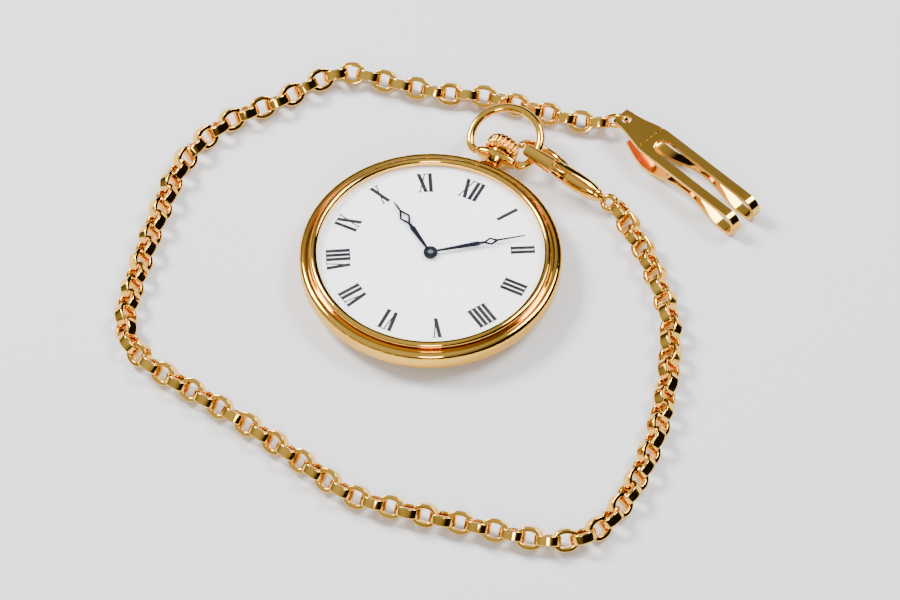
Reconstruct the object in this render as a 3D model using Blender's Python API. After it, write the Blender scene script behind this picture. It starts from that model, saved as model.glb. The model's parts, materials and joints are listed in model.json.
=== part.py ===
"""A slim open-faced pocket watch with its bow, swivel clasp, belcher chain and pocket clip.

The origin is the middle of the flat case back, +Z is up through the dial, and +Y points to twelve
o'clock, where the crown and the bow are. Lengths are named in millimetres and turned to metres by MM.
"""

from math import acos, asin, atan2, cos, degrees, hypot, pi, radians, sin

import bmesh
import bpy
from mathutils import Euler, Vector

MM = 0.001

# ---------------------------------------------------------------- driving dimensions, in millimetres

CASE_DIAMETER = 43.0
BACK_HEIGHT = 1.9  # top of the case back's rim
BACK_WALL = 0.55
BACK_FLAT_RADIUS = 15.0  # the flat that the watch rests on
BAND_RISE = 0.65  # crest of the case band above the dial
BAND_WIDTH = 1.45  # rounded outer band, seen from the front
BEZEL_WIDTH = 1.25  # rounded inner band round the crystal
GROOVE_WIDTH = 0.2  # shadow line between the two bands
BEZEL_RISE = 0.78  # crest of the bezel above the crystal's seat
CRYSTAL_THICKNESS = 0.7
CRYSTAL_CROWN = 0.4  # how much the middle of the crystal stands above its edge

STEM_HEIGHT = 3.0  # height of the winding stem and of the bow's pivots
STEM_RADIUS = 0.5
CROWN_RADIUS = 2.85
CROWN_LENGTH = 2.55
CROWN_FLUTES = 20
CROWN_TRAVEL = 0.9
COLLAR_HALF_LENGTH = 3.75
COLLAR_HEIGHT = 3.2
COLLAR_DEPTH = 1.6
NECK_LENGTH = 3.1  # from the case's edge to the bow's pivots
NECK_RADIUS = 1.35

BOW_RADIUS = 5.9  # of the wire's middle line
BOW_RISE = 3.4  # from the pivots to the ring's centre
BOW_WIRE = 1.4
BOW_PIVOT_RADIUS = 0.4
BOW_TILT = 17.0  # degrees above the dial's plane at rest

CASE_WALL = 2.3  # from the case's edge to the movement
DIAL_THICKNESS = 0.3
DIAL_CLEARANCE = 0.09  # under the dial, above the hour wheel
PLATE_LOW = 3.05
PLATE_THICKNESS = 0.8
BRIDGE_LOW = 1.15
BRIDGE_THICKNESS = 0.5
COCK_LOW = 0.7
COCK_THICKNESS = 0.4

HOUR_HAND_LENGTH = 12.3
MINUTE_HAND_LENGTH = 15.8
HAND_THICKNESS = 0.12
REST_MINUTES = 10 * 60 + 8.5  # the time shown, in minutes after twelve

CHAIN_DIAMETER = 3.8

CLASP_NOSE_OFFSET = (3.69, 1.64, 3.35)  # from the middle of the bow's pivots
CLASP_TURN = (-39.0, 13.2, -5.5)  # degrees: rolled about its own length, dipped, swung
CLASP_BARREL_RADIUS = 1.6
CLASP_BARREL_START = 6.4
CLASP_BARREL_END = 15.6
CLASP_WIRE = 0.6  # radius of the hook's wire
CLASP_PIVOT = (8.0, -0.15)
CLASP_LEVER_HALF_WIDTH = 0.68
SWIVEL_RING_RADIUS = 1.1
SWIVEL_WIRE = 0.42

CLIP_PLACE = (14.9, 40.9)
CLIP_HEADING = -19.3  # degrees from +X
CLIP_LENGTH = 29.0
CLIP_WIDTH = 6.2
CLIP_NECK_WIDTH = 3.5
CLIP_SLOT_WIDTH = 3.0
CLIP_THICKNESS = 0.65
CLIP_HEIGHT = 4.6

FIT = 0.05  # gap between pieces that sit against each other
RUNNING = 0.06  # gap round a pivot or a sliding piece

CASE_SIDES = 36
ROUND_SIDES = 16
PIVOT_SIDES = 8
WIRE_SIDES = 8

# smaller sizes that one piece or one joint sets, in millimetres
CRYSTAL_SEAT = 0.3
PENDANT_SPIGOT = 0.88
SPIGOT_LENGTH = 1.3
COLLAR_END = 0.72
BOW_END_GAP = 0.15
BOW_PIVOT_LENGTH = 1.0
FLUTE_DEPTH = 0.3
STEM_IN_CROWN = 1.4
STEM_INNER_END = 11.6
WINDING_PINION_SPAN = (14.85, 16.5)
WINDING_PINION_RADIUS = 1.25
SLIDING_PINION_SPAN = (12.15, 14.6)
SLIDING_PINION_RADIUS = 1.0
LEVER_GROOVE = 17.6
SETTING_LEVER_PLACE = (3.4, 16.9)
YOKE_PLACE = (-4.9, 11.2)
HAND_HUB = 1.1
HOUR_PIPE = 0.75
CANNON_PIPE = 0.55
CENTRE_ARBOR = 0.3
STUD_RADIUS = 0.25
PIVOT_RADIUS = 0.12
PIVOT_LENGTH = 0.3
ARBOR_RADIUS = 0.25
STAFF_RADIUS = 0.3
BARREL_ARBOR = 1.3
ARBOR_SQUARE = 0.7
COVER_THICKNESS = 0.15
CROWN_HUB = 0.8
CROWN_SKIRT_TOP = 1.66
CLICK_PLACE = (-13.6, 2.3)
CLICK_STUD = 0.3
CLICK_CLEARANCE = 0.25
POST_RADIUS = 1.1
BARREL_POSTS = [(-14.6, -3.2), (6.6, 14.2)]
TRAIN_POSTS = [(15.6, 3.4), (14.6, -2.6)]
COCK_POST = (9.2, -12.2)
PALLET_POST = (2.9, -3.9)
SCREW_RADIUS = 0.35
SCREW_LENGTH = 1.2
SCREW_HEAD = 0.3
JEWEL_RADIUS = 0.45
PIN_RADIUS = 0.35
PIN_HALF_LENGTH = 1.25
SWIVEL_POST = 0.5
SWIVEL_DEPTH = 1.0
SWIVEL_NECK = 0.45  # between the barrel's end and the ring
GATE_NOSE = 0.75  # the gate's tip, along the clasp
CLIP_EYE_RADIUS = 0.8
CROWN_GAP = 0.15  # between the collar and the pushed-in crown
CROWN_CHAMFER = 0.35
LEVER_BORE = 0.35
LEVER_THICKNESS = 0.2
STUD_FOOT = 0.2  # how far a stud is let into its plate
HUB_BAR = 0.2  # thickness of the bar that carries the crown wheel's hub
HAND_OPENINGS = {"hour": (0.95, 8.6), "minute": (0.85, 10.0)}  # half width and place of each diamond
STEM_BORE = STEM_RADIUS + RUNNING

# the chain's route on the table, from the swivel to the pocket clip, laid by hand
CHAIN_ROUTE = [
    (23.0, 24.2), (26.6, 21.0), (31.0, 17.4), (38.8, 8.7), (41.7, 3.3), (44.9, -4.8),
    (47.4, -14.0), (48.5, -23.0), (48.3, -31.5), (46.6, -36.8), (43.3, -40.1), (38.8, -41.9),
    (30.6, -43.5), (20.2, -45.6), (12.6, -46.8), (7.8, -46.8), (0.0, -44.8), (-10.0, -42.3),
    (-20.3, -40.3), (-28.2, -38.9), (-33.0, -37.7), (-36.7, -35.5), (-39.2, -32.4),
    (-41.2, -27.0), (-43.3, -18.4), (-45.0, -10.2), (-46.4, -1.6), (-46.4, 4.0), (-45.1, 9.8),
    (-42.8, 14.6), (-38.6, 20.0), (-35.3, 25.9), (-32.8, 29.4), (-29.2, 31.4), (-21.6, 32.5),
    (-14.0, 34.2), (-7.0, 36.7), (0.5, 37.5), (8.5, 38.6), (12.7, 40.5),
]
CHAIN_STATIONS = 64

# ---------------------------------------------------------------- the wheel train

# teeth, module (pitch diameter per tooth, mm) of each toothed piece
BARREL_TEETH, BARREL_MODULE = 64, 0.256
CENTRE_PINION_LEAVES = 10
CENTRE_TEETH, CENTRE_MODULE = 64, 0.16
THIRD_PINION_LEAVES = 8
THIRD_TEETH, THIRD_MODULE = 60, 0.135
FOURTH_PINION_LEAVES = 8
FOURTH_TEETH, FOURTH_MODULE = 60, 0.12
ESCAPE_PINION_LEAVES = 6
ESCAPE_TEETH = 15
ESCAPE_RADIUS = 2.0
MOTION_MODULE = 0.12
CANNON_LEAVES = 10
MINUTE_WHEEL_TEETH = 30
MINUTE_PINION_LEAVES = 8
HOUR_TEETH = 32
SETTING_TEETH = 60
WINDING_MODULE = 0.25
CROWN_WHEEL_TEETH = 32
RATCHET_TEETH = 38
WINDING_PINION_TEETH = 12
CROWN_WHEEL_PLACE = (0.0, 11.4)

BALANCE_RADIUS = 4.8
HAIRSPRING_RADIUS = 2.9
BALANCE_PLACE = (3.72, -9.59)
PALLET_PLACE = (5.7, -5.66)


def place_at(start, distance, heading):
    """The point at a distance and a heading in degrees from another."""
    return (start[0] + distance * cos(radians(heading)), start[1] + distance * sin(radians(heading)))


def centre_distance(teeth, leaves, module):
    """How far apart two meshing toothed pieces stand."""
    return (teeth + leaves) * module / 2


CENTRE_PLACE = (0.0, 0.0)
BARREL_PLACE = place_at(
    CENTRE_PLACE, centre_distance(BARREL_TEETH, CENTRE_PINION_LEAVES, BARREL_MODULE), 138.5
)
THIRD_PLACE = place_at(
    CENTRE_PLACE, centre_distance(CENTRE_TEETH, THIRD_PINION_LEAVES, CENTRE_MODULE), 40.0
)
FOURTH_PLACE = place_at(
    THIRD_PLACE, centre_distance(THIRD_TEETH, FOURTH_PINION_LEAVES, THIRD_MODULE), -45.0
)
ESCAPE_PLACE = place_at(
    FOURTH_PLACE, centre_distance(FOURTH_TEETH, ESCAPE_PINION_LEAVES, FOURTH_MODULE), -100.0
)
MINUTE_PLACE = place_at(
    CENTRE_PLACE, centre_distance(MINUTE_WHEEL_TEETH, CANNON_LEAVES, MOTION_MODULE), 90.0
)
SETTING_PLACE = place_at(
    MINUTE_PLACE, centre_distance(SETTING_TEETH, MINUTE_WHEEL_TEETH, MOTION_MODULE), 90.0
)

# heights of the layers, low and high, from the case back up to the dial
RATCHET_LAYER = (0.75, 1.05)
HAIRSPRING_LAYER = (1.2, 1.4)
BALANCE_LAYER = (1.5, 1.8)
CENTRE_LAYER = (1.75, 1.95)
PALLET_BRIDGE_LAYER = (2.0, 2.28)
BARREL_LAYER = (2.05, 2.97)
FOURTH_LAYER = (2.1, 2.25)
ESCAPE_LAYER = (2.42, 2.62)
THIRD_LAYER = (2.3, 2.5)
PLATE_HIGH = PLATE_LOW + PLATE_THICKNESS
BRIDGE_HIGH = BRIDGE_LOW + BRIDGE_THICKNESS
COCK_HIGH = COCK_LOW + COCK_THICKNESS
MOTION_LAYER = (PLATE_HIGH + FIT, PLATE_HIGH + FIT + 0.16)
HOUR_LAYER = (MOTION_LAYER[1] + FIT, MOTION_LAYER[1] + FIT + 0.15)
DIAL_UNDERSIDE = HOUR_LAYER[1] + DIAL_CLEARANCE
DIAL_TOP = DIAL_UNDERSIDE + DIAL_THICKNESS
HOUR_HAND_LOW = DIAL_TOP + 0.3
MINUTE_HAND_LOW = HOUR_HAND_LOW + HAND_THICKNESS + 0.18
CRYSTAL_LOW = MINUTE_HAND_LOW + HAND_THICKNESS + FIT
BAND_TOP = DIAL_TOP + BAND_RISE
BEZEL_TOP = CRYSTAL_LOW + BEZEL_RISE
CASE_RADIUS = CASE_DIAMETER / 2
MOVEMENT_RADIUS = CASE_RADIUS - CASE_WALL
DIAL_RADIUS = MOVEMENT_RADIUS
HINGE_REACH = CASE_RADIUS + NECK_LENGTH
CROWN_BASE = HINGE_REACH + COLLAR_DEPTH / 2 + CROWN_GAP
CLASP_NOSE = (CLASP_NOSE_OFFSET[0], HINGE_REACH + CLASP_NOSE_OFFSET[1], STEM_HEIGHT + CLASP_NOSE_OFFSET[2])
BAND_INNER = CASE_RADIUS - BAND_WIDTH
BEZEL_OUTER = BAND_INNER - FIT
DIAL_OPENING = BEZEL_OUTER - GROOVE_WIDTH - BEZEL_WIDTH

# ---------------------------------------------------------------- materials


def metal(name, colour, roughness, metallic=1.0):
    """A Principled material with a colour, a roughness and a metallic value."""
    material = bpy.data.materials.new(name)
    material.use_nodes = True
    shader = material.node_tree.nodes["Principled BSDF"]
    shader.inputs["Base Color"].default_value = (*colour, 1.0)
    shader.inputs["Roughness"].default_value = roughness
    shader.inputs["Metallic"].default_value = metallic
    material.diffuse_color = (*colour, 1.0)
    return material


def make_materials():
    """Every finish in the watch, by name."""
    glass = metal("crystal_glass", (0.95, 0.97, 0.98), 0.03, 0.0)
    glass.node_tree.nodes["Principled BSDF"].inputs["Transmission Weight"].default_value = 1.0
    return {
        "gold": metal("polished_gold", (0.83, 0.58, 0.22), 0.12),
        "gilt": metal("gilt_brass", (0.78, 0.62, 0.33), 0.28),
        "nickel": metal("nickelled_brass", (0.72, 0.71, 0.68), 0.3),
        "steel": metal("polished_steel", (0.62, 0.63, 0.65), 0.2),
        "blued": metal("blued_steel", (0.02, 0.03, 0.08), 0.25),
        "enamel": metal("white_enamel", (0.86, 0.86, 0.84), 0.2, 0.0),
        "ruby": metal("ruby", (0.55, 0.03, 0.1), 0.05, 0.0),
        "glass": glass,
    }


# ---------------------------------------------------------------- shape tools


def turned(outline, sides):
    """A mesh turned about Z from a closed outline of (radius, height) points."""
    mesh = bmesh.new()
    points = [mesh.verts.new((radius * MM, 0, height * MM)) for radius, height in outline]
    edges = []
    for index, (radius, _) in enumerate(outline):
        following = (index + 1) % len(outline)
        if radius > 0 or outline[following][0] > 0:
            edges.append(mesh.edges.new((points[index], points[following])))
    bmesh.ops.spin(
        mesh, geom=points + edges, cent=(0, 0, 0), axis=(0, 0, 1), angle=2 * pi, steps=sides,
        use_merge=True,
    )
    bmesh.ops.remove_doubles(mesh, verts=mesh.verts, dist=1e-7)
    bmesh.ops.recalc_face_normals(mesh, faces=mesh.faces)
    return mesh


def prism(outline, low, high):
    """A mesh with straight walls over a flat outline."""
    mesh = bmesh.new()
    base = mesh.faces.new([mesh.verts.new((x * MM, y * MM, low * MM)) for x, y in outline])
    raised = bmesh.ops.extrude_face_region(mesh, geom=[base])["geom"]
    tops = [item for item in raised if isinstance(item, bmesh.types.BMVert)]
    bmesh.ops.translate(mesh, verts=tops, vec=(0, 0, (high - low) * MM))
    bmesh.ops.recalc_face_normals(mesh, faces=mesh.faces)
    return mesh


def rod(points, radii, sides, closed=False):
    """A round rod that follows points, with a radius at each."""
    mesh = bmesh.new()
    path = [Vector(point) * MM for point in points]
    count = len(path)
    rows = []
    side = None
    for index, here in enumerate(path):
        before = path[index - 1] if closed or index else here
        after = path[(index + 1) % count] if closed or index < count - 1 else here
        along = (after - before).normalized()
        if side is None:
            side = along.orthogonal().normalized()
        side = (side - along * side.dot(along)).normalized()
        other = along.cross(side)
        row = []
        for step in range(sides):
            angle = 2 * pi * step / sides
            offset = (side * cos(angle) + other * sin(angle)) * radii[index] * MM
            row.append(mesh.verts.new(here + offset))
        rows.append(row)
    for index in range(count if closed else count - 1):
        row, following = rows[index], rows[(index + 1) % count]
        for step in range(sides):
            beside = (step + 1) % sides
            mesh.faces.new((row[step], row[beside], following[beside], following[step]))
    if not closed:
        mesh.faces.new(rows[0])
        mesh.faces.new(rows[-1])
    bmesh.ops.recalc_face_normals(mesh, faces=mesh.faces)
    return mesh


def box(low, high):
    """A box between two corners."""
    (x0, y0, z0), (x1, y1, z1) = low, high
    return prism([(x0, y0), (x1, y0), (x1, y1), (x0, y1)], z0, z1)


def disc(radius, low, high, sides=ROUND_SIDES):
    """A plain round disc or pin about Z."""
    return prism(circle(radius, sides), low, high)


def ring(inner, outer, low, high, sides=ROUND_SIDES):
    """A flat ring about Z."""
    return turned([(inner, low), (outer, low), (outer, high), (inner, high)], sides)


def circle(radius, sides, centre=(0, 0)):
    """Points round a circle."""
    angles = [2 * pi * step / sides for step in range(sides)]
    return [(centre[0] + radius * cos(angle), centre[1] + radius * sin(angle)) for angle in angles]


def arc(centre, radius, start, end, steps):
    """Points along an arc, with its angles in degrees."""
    turns = [radians(start + (end - start) * step / steps) for step in range(steps + 1)]
    return [(centre[0] + radius * cos(turn), centre[1] + radius * sin(turn)) for turn in turns]


def link_plate(centres, radii, steps=6):
    """The outline of a flat bar with a round end about each of two centres."""
    (x0, y0), (x1, y1) = centres
    heading = degrees(atan2(y1 - y0, x1 - x0))
    lean = degrees(asin((radii[0] - radii[1]) / hypot(x1 - x0, y1 - y0)))
    first = arc(centres[0], radii[0], heading + 90 - lean, heading + 270 + lean, steps)
    second = arc(centres[1], radii[1], heading - 90 + lean, heading + 90 - lean, steps)
    return first + second


def toothed(teeth, module, first_tooth=0.0):
    """The outline of a toothed wheel, one point at each tip and one in each gap."""
    tip = teeth * module / 2 + module
    root = teeth * module / 2 - 1.25 * module
    points = []
    for step in range(2 * teeth):
        angle = first_tooth + pi * step / teeth
        radius = root if step % 2 else tip
        points.append((radius * cos(angle), radius * sin(angle)))
    return points


def mesh_phase(driver_place, driver_teeth, driver_phase, place, teeth):
    """Where the first tooth of a wheel stands so that it meshes with its driver."""
    heading = atan2(place[1] - driver_place[1], place[0] - driver_place[0])
    driver_share = (heading - driver_phase) * driver_teeth / (2 * pi)
    return heading + pi - (0.5 - driver_share) * 2 * pi / teeth


def smooth_curve(points, count):
    """Points evenly spaced along a Catmull-Rom curve through a list of points."""
    ends = [points[0]] + list(points) + [points[-1]]
    dense = []
    for index in range(1, len(ends) - 2):
        a, b, c, d = (Vector(ends[index + offset]) for offset in (-1, 0, 1, 2))
        for step in range(12):
            t = step / 12
            dense.append(
                ((2 * b) + (c - a) * t + (2 * a - 5 * b + 4 * c - d) * t * t
                 + (3 * b - a - 3 * c + d) * t * t * t) / 2
            )
    dense.append(Vector(points[-1]))
    lengths = [0.0]
    for before, after in zip(dense, dense[1:]):
        lengths.append(lengths[-1] + (after - before).length)
    even = []
    segment = 0
    for step in range(count):
        wanted = lengths[-1] * step / (count - 1)
        while segment < len(dense) - 2 and lengths[segment + 1] < wanted:
            segment += 1
        share = (wanted - lengths[segment]) / (lengths[segment + 1] - lengths[segment])
        even.append(dense[segment].lerp(dense[segment + 1], share))
    return even


# ---------------------------------------------------------------- placing


def add(name, mesh, material, place=(0, 0, 0), turn=(0, 0, 0), parent=None):
    """A named, visible piece. Its place is in millimetres and its turn in degrees."""
    data = bpy.data.meshes.new(name)
    mesh.to_mesh(data)
    mesh.free()
    data.shade_smooth()
    data.set_sharp_from_angle(angle=radians(30))
    data.materials.append(material)
    piece = bpy.data.objects.new(name, data)
    piece.location = Vector(place) * MM
    piece.rotation_euler = Euler([radians(angle) for angle in turn])
    piece.parent = parent
    bpy.context.scene.collection.objects.link(piece)
    return piece


def helper(mesh, like, name):
    """A hidden tool body in the frame of a piece."""
    data = bpy.data.meshes.new(name)
    mesh.to_mesh(data)
    mesh.free()
    tool = bpy.data.objects.new(name, data)
    tool.location = like.location
    tool.rotation_euler = like.rotation_euler
    tool.parent = like.parent
    tool.hide_render = True
    tool.display_type = "WIRE"
    bpy.context.scene.collection.objects.link(tool)
    return tool


def combine(piece, mesh, operation):
    """Cuts a tool body from a piece, or joins it on."""
    tool = helper(mesh, piece, f"{piece.name}_tool_{len(piece.modifiers)}")
    modifier = piece.modifiers.new(f"{operation.lower()}_{len(piece.modifiers)}", "BOOLEAN")
    modifier.operation = operation
    modifier.object = tool
    return tool


def cut(piece, mesh):
    """Removes a tool body from a piece."""
    return combine(piece, mesh, "DIFFERENCE")


def fuse(piece, mesh):
    """Joins a tool body to a piece."""
    return combine(piece, mesh, "UNION")


def drill(piece, place, radius, low, high, sides=PIVOT_SIDES):
    """A round hole along Z through a piece that stands at the origin."""
    cut(piece, prism(circle(radius, sides, place), low, high))


ALONG_Y = (-90, 0, 0)  # turns a piece made about Z to lie along +Y

# ---------------------------------------------------------------- case


def band_outline(gap=0.0):
    """The rounded outer wall of the case band, bottom to top, as (radius, height) points."""
    widest = 3.6
    lower = [(CASE_RADIUS - 0.8 + gap, BACK_HEIGHT + FIT), (CASE_RADIUS - 0.32 + gap, 2.45)]
    reach = BAND_WIDTH / 2 + 0.2
    upper = arc((CASE_RADIUS - reach, BAND_TOP - reach), reach + gap, 0, 90, 6)
    return lower + [(CASE_RADIUS - 0.06 + gap, widest - 0.5)] + [(CASE_RADIUS + gap, widest)] + upper


def make_case_middle(finish):
    """The band that holds the movement, with a seat for the bezel above and the back below."""
    bore = MOVEMENT_RADIUS + 2 * FIT
    ledge = MOVEMENT_RADIUS - 0.6
    seat = DIAL_TOP + 2 * FIT
    outline = band_outline() + [
        (BAND_INNER + 0.25, BAND_TOP - 0.08), (BAND_INNER, BAND_TOP - 0.35), (BAND_INNER, seat),
        (bore, seat), (bore, PLATE_LOW - FIT), (ledge, PLATE_LOW - FIT), (ledge, 2.55),
        (bore + 0.1, 2.55), (bore + 0.1, BACK_HEIGHT + FIT),
    ]
    band = add("case_middle", turned(outline, CASE_SIDES), finish)
    tool = cut(band, disc(PENDANT_SPIGOT + FIT, CASE_RADIUS - 4, CASE_RADIUS + 1.5, ROUND_SIDES))
    tool.location = Vector((0, 0, STEM_HEIGHT)) * MM
    tool.rotation_euler = Euler([radians(angle) for angle in ALONG_Y])


def make_case_back(finish):
    """The snap-on back: a flat middle, a rounded flank and a rim that enters the band."""
    rim_outer = MOVEMENT_RADIUS + 3 * FIT
    rim_inner = rim_outer - 0.4
    edge = CASE_RADIUS - 0.9
    outline = [
        (0, 0), (BACK_FLAT_RADIUS, 0), (BACK_FLAT_RADIUS + 2.4, 0.22), (edge - 1.4, 0.75),
        (edge - 0.35, 1.3), (edge, 1.65), (edge, BACK_HEIGHT), (rim_outer, BACK_HEIGHT),
        (rim_outer, BACK_HEIGHT + 0.5), (rim_inner, BACK_HEIGHT + 0.5), (rim_inner, 1.55),
        (rim_inner - 1.2, 1.0), (BACK_FLAT_RADIUS + 1.6, BACK_WALL), (0, BACK_WALL),
    ]
    add("case_back", turned(outline, CASE_SIDES), finish)


def make_bezel(finish):
    """The ring that holds the crystal, with one rounded bead round it."""
    seat = DIAL_TOP + 2 * FIT
    bead = BEZEL_WIDTH / 2
    outline = [
        (DIAL_OPENING, seat + FIT), (BEZEL_OUTER, seat + FIT), (BEZEL_OUTER, BAND_TOP - 0.45),
        (BEZEL_OUTER - GROOVE_WIDTH, BAND_TOP - 0.3), (BEZEL_OUTER - GROOVE_WIDTH, BEZEL_TOP - bead),
    ]
    outline += arc((BEZEL_OUTER - GROOVE_WIDTH - bead, BEZEL_TOP - bead), bead, 15, 125, 5)
    outline += [
        (DIAL_OPENING + CRYSTAL_SEAT, BEZEL_TOP - 0.35), (DIAL_OPENING + CRYSTAL_SEAT, CRYSTAL_LOW),
        (DIAL_OPENING, CRYSTAL_LOW),
    ]
    add("bezel", turned(outline, CASE_SIDES), finish)


def make_crystal(glass):
    """The domed crystal, sprung into the bezel."""
    radius = DIAL_OPENING + CRYSTAL_SEAT - FIT
    low = CRYSTAL_LOW + FIT
    high = low + CRYSTAL_THICKNESS
    shares = (1.0, 0.82, 0.55, 0.0)
    rim = 0.12
    top = [(radius * share, high - rim + (CRYSTAL_CROWN + rim) * (1 - share**2)) for share in shares]
    under = [
        (radius * share, low + CRYSTAL_CROWN * 0.6 * (1 - share**2)) for share in (0.0, 0.6, 0.97)
    ]
    add("crystal", turned(top + under + [(radius, low)], CASE_SIDES), glass)


def make_pendant(finish):
    """The neck with its boat-shaped collar, which takes the bow's pivots in its round ends."""
    face = HINGE_REACH + COLLAR_DEPTH / 2
    base = CASE_RADIUS + FIT
    outline = [
        (0, base - SPIGOT_LENGTH), (PENDANT_SPIGOT, base - SPIGOT_LENGTH),
        (PENDANT_SPIGOT, base), (NECK_RADIUS + 0.75, base), (NECK_RADIUS + 0.3, base + 0.5),
        (NECK_RADIUS, base + 1.2), (NECK_RADIUS, HINGE_REACH), (0, HINGE_REACH),
    ]
    neck = add("pendant", turned(outline, ROUND_SIDES), finish, (0, 0, STEM_HEIGHT), ALONG_Y)
    fuse(neck, prism(collar_outline(), face - COLLAR_DEPTH, face))
    cut(neck, disc(STEM_BORE, base - SPIGOT_LENGTH - 1, face + 1, PIVOT_SIDES))
    cut(neck, pivot_bore())


def collar_outline():
    """The collar seen along the stem: long in X, swelling in the middle, narrow at both ends."""
    rise = COLLAR_HEIGHT / 2
    shares = (-1, -0.88, -0.65, -0.35, 0, 0.35, 0.65, 0.88, 1)
    heights = [COLLAR_END + (rise - COLLAR_END) * (1 - share**2) for share in shares]
    lower = [(COLLAR_HALF_LENGTH * share, -high) for share, high in zip(shares, heights)]
    return lower + [(x, -y) for x, y in reversed(lower)]


def pivot_bore():
    """The hole along X that the bow's two pivots turn in, in the neck's own frame."""
    reach = COLLAR_HALF_LENGTH + 1
    bore = disc(BOW_PIVOT_RADIUS + RUNNING, -reach, reach, PIVOT_SIDES)
    bmesh.ops.rotate(bore, verts=bore.verts, matrix=Euler((0, pi / 2, 0)).to_matrix())
    bmesh.ops.translate(bore, verts=bore.verts, vec=(0, 0, HINGE_REACH * MM))
    return bore


def make_bow(finish):
    """The ring of wire, with its two pivots turned inwards into the collar."""
    hinge = bpy.data.objects.new("bow_axis", None)
    hinge.location = Vector((0, HINGE_REACH, STEM_HEIGHT)) * MM
    hinge.rotation_euler = (radians(BOW_TILT), 0, 0)
    bpy.context.scene.collection.objects.link(hinge)
    wire = BOW_WIRE / 2
    inward = COLLAR_HALF_LENGTH + BOW_END_GAP
    foot = degrees(acos(-(BOW_RISE - 1.0) / BOW_RADIUS)) - 90
    sweep = arc((0, BOW_RISE), BOW_RADIUS, -foot, 180 + foot, 22)
    right = [(inward, 0), (inward + 0.35, 0.02), (sweep[0][0] - 0.12, 0.42)]
    left = [(-x, y) for x, y in reversed(right)]
    points = [(x, y, 0) for x, y in right + sweep + left]
    bow = add("bow", rod(points, [wire] * len(points), WIRE_SIDES), finish, parent=hinge)
    for sign in (-1, 1):
        near, far = sorted((sign * (inward - BOW_PIVOT_LENGTH), sign * (inward + 0.3)))
        pivot = disc(BOW_PIVOT_RADIUS, near, far, PIVOT_SIDES)
        bmesh.ops.rotate(pivot, verts=pivot.verts, matrix=Euler((0, pi / 2, 0)).to_matrix())
        fuse(bow, pivot)


# ---------------------------------------------------------------- crown and keyless work


def make_crown(finish):
    """The fluted winding button on the stem's end."""
    mesh = prism(flutes(CROWN_RADIUS), 0, CROWN_LENGTH - CROWN_CHAMFER)
    top = [face for face in mesh.faces if face.normal.z > 0.9]
    bmesh.ops.inset_region(mesh, faces=top, thickness=CROWN_CHAMFER * MM, depth=0)
    corners = list({corner for face in top for corner in face.verts})
    bmesh.ops.translate(mesh, verts=corners, vec=(0, 0, CROWN_CHAMFER * MM))
    crown = add("crown", mesh, finish, (0, CROWN_BASE, STEM_HEIGHT), ALONG_Y)
    cut(crown, disc(STEM_BORE, -1, STEM_IN_CROWN + FIT))


def flutes(radius):
    """The crown's outline, with a shallow groove between each pair of ridges."""
    points = []
    for step in range(2 * CROWN_FLUTES):
        angle = pi * step / CROWN_FLUTES
        reach = radius - FLUTE_DEPTH * (step % 2)
        points.append((reach * cos(angle), reach * sin(angle)))
    return points


def make_stem(steel):
    """The winding stem: a round rod with a groove for the setting lever and a square inner end."""
    end = CROWN_BASE + STEM_IN_CROWN
    thin = STEM_RADIUS - 0.14
    outline = [
        (0, STEM_INNER_END), (thin, STEM_INNER_END), (thin, WINDING_PINION_SPAN[1] + 0.2),
        (STEM_RADIUS, WINDING_PINION_SPAN[1] + 0.2), (STEM_RADIUS, LEVER_GROOVE - 0.25),
        (thin, LEVER_GROOVE - 0.25), (thin, LEVER_GROOVE + 0.25),
        (STEM_RADIUS, LEVER_GROOVE + 0.25), (STEM_RADIUS, end), (0, end),
    ]
    add("winding_stem", turned(outline, PIVOT_SIDES), steel, (0, 0, STEM_HEIGHT), ALONG_Y)


def make_pinions(steel):
    """The winding pinion and, inside it on the stem, the sliding pinion."""
    bore = STEM_RADIUS - 0.14 + RUNNING
    low, high = WINDING_PINION_SPAN
    module = 2 * (WINDING_PINION_RADIUS - 0.12) / (WINDING_PINION_TEETH + 2)
    teeth = toothed(WINDING_PINION_TEETH, module)
    winder = add("winding_pinion", prism(teeth, low, high), steel, (0, 0, STEM_HEIGHT), ALONG_Y)
    cut(winder, disc(bore, low - 1, high + 1))
    low, high = SLIDING_PINION_SPAN
    waist = SLIDING_PINION_RADIUS - 0.35
    middle = (low + high) / 2
    outline = [
        (bore, low), (SLIDING_PINION_RADIUS, low), (SLIDING_PINION_RADIUS, middle - 0.3),
        (waist, middle - 0.3), (waist, middle + 0.3), (SLIDING_PINION_RADIUS, middle + 0.3),
        (SLIDING_PINION_RADIUS, high), (bore, high),
    ]
    add("sliding_pinion", turned(outline, ROUND_SIDES), steel, (0, 0, STEM_HEIGHT), ALONG_Y)


def make_levers(steel):
    """The setting lever, which the stem's groove moves, and the yoke, which shifts the pinion."""
    low, high = MOTION_LAYER[0], MOTION_LAYER[0] + LEVER_THICKNESS
    px, py = SETTING_LEVER_PLACE
    nose = link_plate([(0, 0), (0.55 - px, LEVER_GROOVE - py)], [0.9, 0.35])
    lever = add("setting_lever", prism(nose, low, high), steel, (px, py, 0))
    fuse(lever, prism(link_plate([(0, 0), (0.9, -3.0)], [0.85, 0.35]), low, high))
    cut(lever, disc(LEVER_BORE, low - 1, high + 1, PIVOT_SIDES))
    px, py = YOKE_PLACE
    groove = (SLIDING_PINION_SPAN[0] + SLIDING_PINION_SPAN[1]) / 2
    reach = (-SLIDING_PINION_RADIUS - 0.3 - px, groove - py)
    yoke = add("yoke", prism(link_plate([(0, 0), reach], [0.8, 0.28]), low, high), steel, (px, py, 0))
    cut(yoke, disc(LEVER_BORE, low - 1, high + 1, PIVOT_SIDES))


# ---------------------------------------------------------------- dial side


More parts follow.
